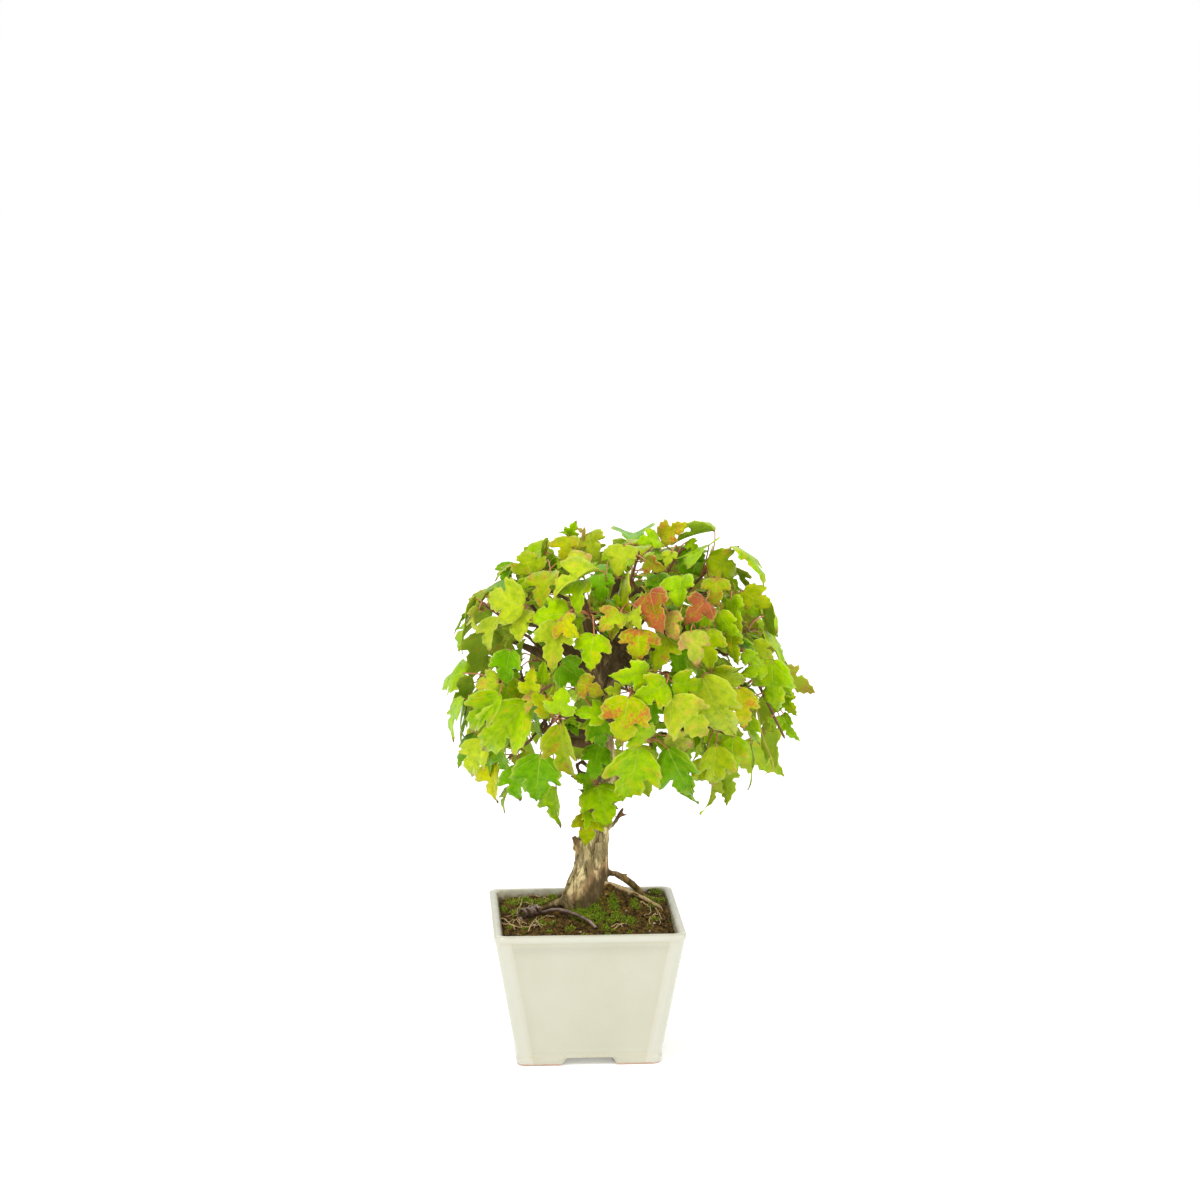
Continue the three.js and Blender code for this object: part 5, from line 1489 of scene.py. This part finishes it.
def stalkMaterial():
    settings = {"Roughness": 0.5, "Subsurface Weight": 0.05, "Subsurface Scale": 0.001}
    material, tree, shader, place = newMaterial("stalkSkin", settings)
    stops = [(0, (0.10, 0.045, 0.015, 1)), (0.2, (0.30, 0.12, 0.04, 1)), (0.5, (0.62, 0.21, 0.09, 1))]
    stops.append((1, (0.46, 0.44, 0.04, 1)))
    colour = rampColour(tree, attribute(tree, "tone")["Fac"], stops)
    skin = mottled(tree, place, 260.0, (0.72, 0.72, 0.72, 1), (1.1, 1.1, 1.1, 1))
    colour = mixColour(tree, 1.0, colour, skin["Color"], "MULTIPLY")
    tree.links.new(colour, shader.inputs["Base Color"])
    return material


def newLeafMesh():
    bm = bmesh.new()
    kept = bm.verts.layers
    layers = {
        "tone": kept.float_color.new("tone"),
        "turned": kept.float_color.new("turned"),
        "where": kept.float_vector.new("where"),
    }
    return bm, layers


# Joins a mesh to a larger one, and lets go of it
def joinMesh(whole, part):
    mesh = meshOf("part", part)
    whole.from_mesh(mesh)
    bpy.data.meshes.remove(mesh)


def makeFoliage():
    draw = random.Random(leafShape["seed"])
    sprays = sorted(name for name in frame["nodes"] if name.startswith("spray_"))
    slotOfNode = {row["node"]: row["material_slot"] for row in frame["record"]["subparts"]}
    meshes, nodesOf = {}, {}
    stalks = bmesh.new()
    stalkTone = stalks.verts.layers.float.new("tone")
    count = 0
    for name in sprays:
        blades, stem = findBlades(name)
        part = bmesh.new()  # one shoot at a time, because an operator slows down in a large mesh
        partTone = part.verts.layers.float.new("tone")
        addShoot(part, stem, partTone, draw)
        addYoung(blades, stem, draw)
        nodesOf.setdefault(slotOfNode[name], []).append(name)
        for leaf in blades:
            young = "young" in leaf
            leaf["tone"] = draw.choice(youngTones) if young else toneOf(leaf, "front" in name, draw)
            vary(leaf, draw)
            addStalk(part, leaf, stem, partTone)
            slot = slotOfTone[leaf["tone"]]
            if slot not in meshes:
                meshes[slot] = newLeafMesh()
            addLeaf(meshes[slot][0], leaf, meshes[slot][1])
        count += len(blades)
        joinMesh(stalks, part)
    print("leaves:", count, "on", len(sprays), "shoots")
    for slot, (bm, _) in sorted(meshes.items()):
        label = slot.replace("leaf_", "")
        materials = [leafMaterial(label + "LeafTop", False), leafMaterial(label + "LeafUnder", True)]
        piece = addPiece(label + "_leaves", bm, materials, nodesOf.get(slot, []))
        shell = piece.modifiers.new("thickness", "SOLIDIFY")
        shell.thickness = leafShape["thick"] * mm
        shell.offset = 0
        shell.material_offset = 1
    addBareStalk(stalks, stalkTone)
    bmesh.ops.recalc_face_normals(stalks, faces=stalks.faces)
    left = [n for slot, names in nodesOf.items() if slot not in meshes for n in names]
    addPiece("stalks_and_shoots", stalks, [stalkMaterial()], left)


makeFoliage()
print("foliage done")


# Floor, light and camera


# Wide soft lamps by where they stand, how wide they spread in degrees, and their strength
studio = {
    "surround": 0.73,
    "backdrop": 1.0,
    "lamps": [
        ("keyLight", (-0.75, -1.0, 1.6), 24, 1.7),
        ("fillLight", (1.2, -0.9, 1.1), 60, 0.8),
        ("backLight", (0.2, 1.2, 1.3), 60, 0.9),
    ],
    "floorSize": 12,
    "floorGlow": 0.22,
    "floorDrop": 0.0002,
}


def makeFloor():
    bm = bmesh.new()
    bmesh.ops.create_grid(bm, x_segments=1, y_segments=1, size=studio["floorSize"])
    mesh = meshOf("floor", bm)
    floor = linked("floor", mesh)
    floor.location = (0, 0, potLow.z - studio["floorDrop"])
    settings = {"Roughness": 0.9, "Specular IOR Level": 0.1}
    settings |= {"Emission Color": (1, 1, 1, 1), "Emission Strength": studio["floorGlow"]}
    material, tree, shader, place = newMaterial("paleFloor", settings)
    skin = mottled(tree, place, 9.0, (0.90, 0.90, 0.90, 1), (0.92, 0.92, 0.92, 1))
    tree.links.new(skin["Color"], shader.inputs["Base Color"])
    mesh.materials.append(material)


def makeLight():
    world = bpy.data.worlds.new("studio")
    bpy.context.scene.world = world
    world.use_nodes = True
    tree = world.node_tree
    tree.nodes.clear()
    around, behind = [
        addNode(tree, "Background", {"Color": (1, 1, 1, 1), "Strength": studio[key]}).outputs[0]
        for key in ("surround", "backdrop")
    ]
    seen = addNode(tree, "LightPath").outputs["Is Camera Ray"]
    both = addNode(tree, "MixShader", {0: seen, 1: around, 2: behind})
    addNode(tree, "OutputWorld", {"Surface": both.outputs[0]})
    for name, place, spread, power in studio["lamps"]:
        lamp = bpy.data.lights.new(name, "SUN")
        lamp.energy = power
        lamp.angle = math.radians(spread)
        holder = linked(name, lamp)
        holder.location = place
        holder.rotation_euler = (-Vector(place)).to_track_quat("-Z", "Y").to_euler()


def makeCamera():
    camera = bpy.data.cameras.new("camera")
    camera.lens = sight["lens"]
    camera.sensor_width = sight["sensor"]
    camera.clip_start = 0.05
    holder = linked("camera", camera)
    turn = Matrix((sight["right"], sight["up"], -sight["ahead"])).transposed()
    holder.matrix_world = Matrix.Translation(placed(sight["eye"])) @ turn.to_4x4()
    bpy.context.scene.camera = holder


makeFloor()
makeLight()


makeCamera()
bpy.context.scene.view_settings.view_transform = "Standard"
print("studio done")
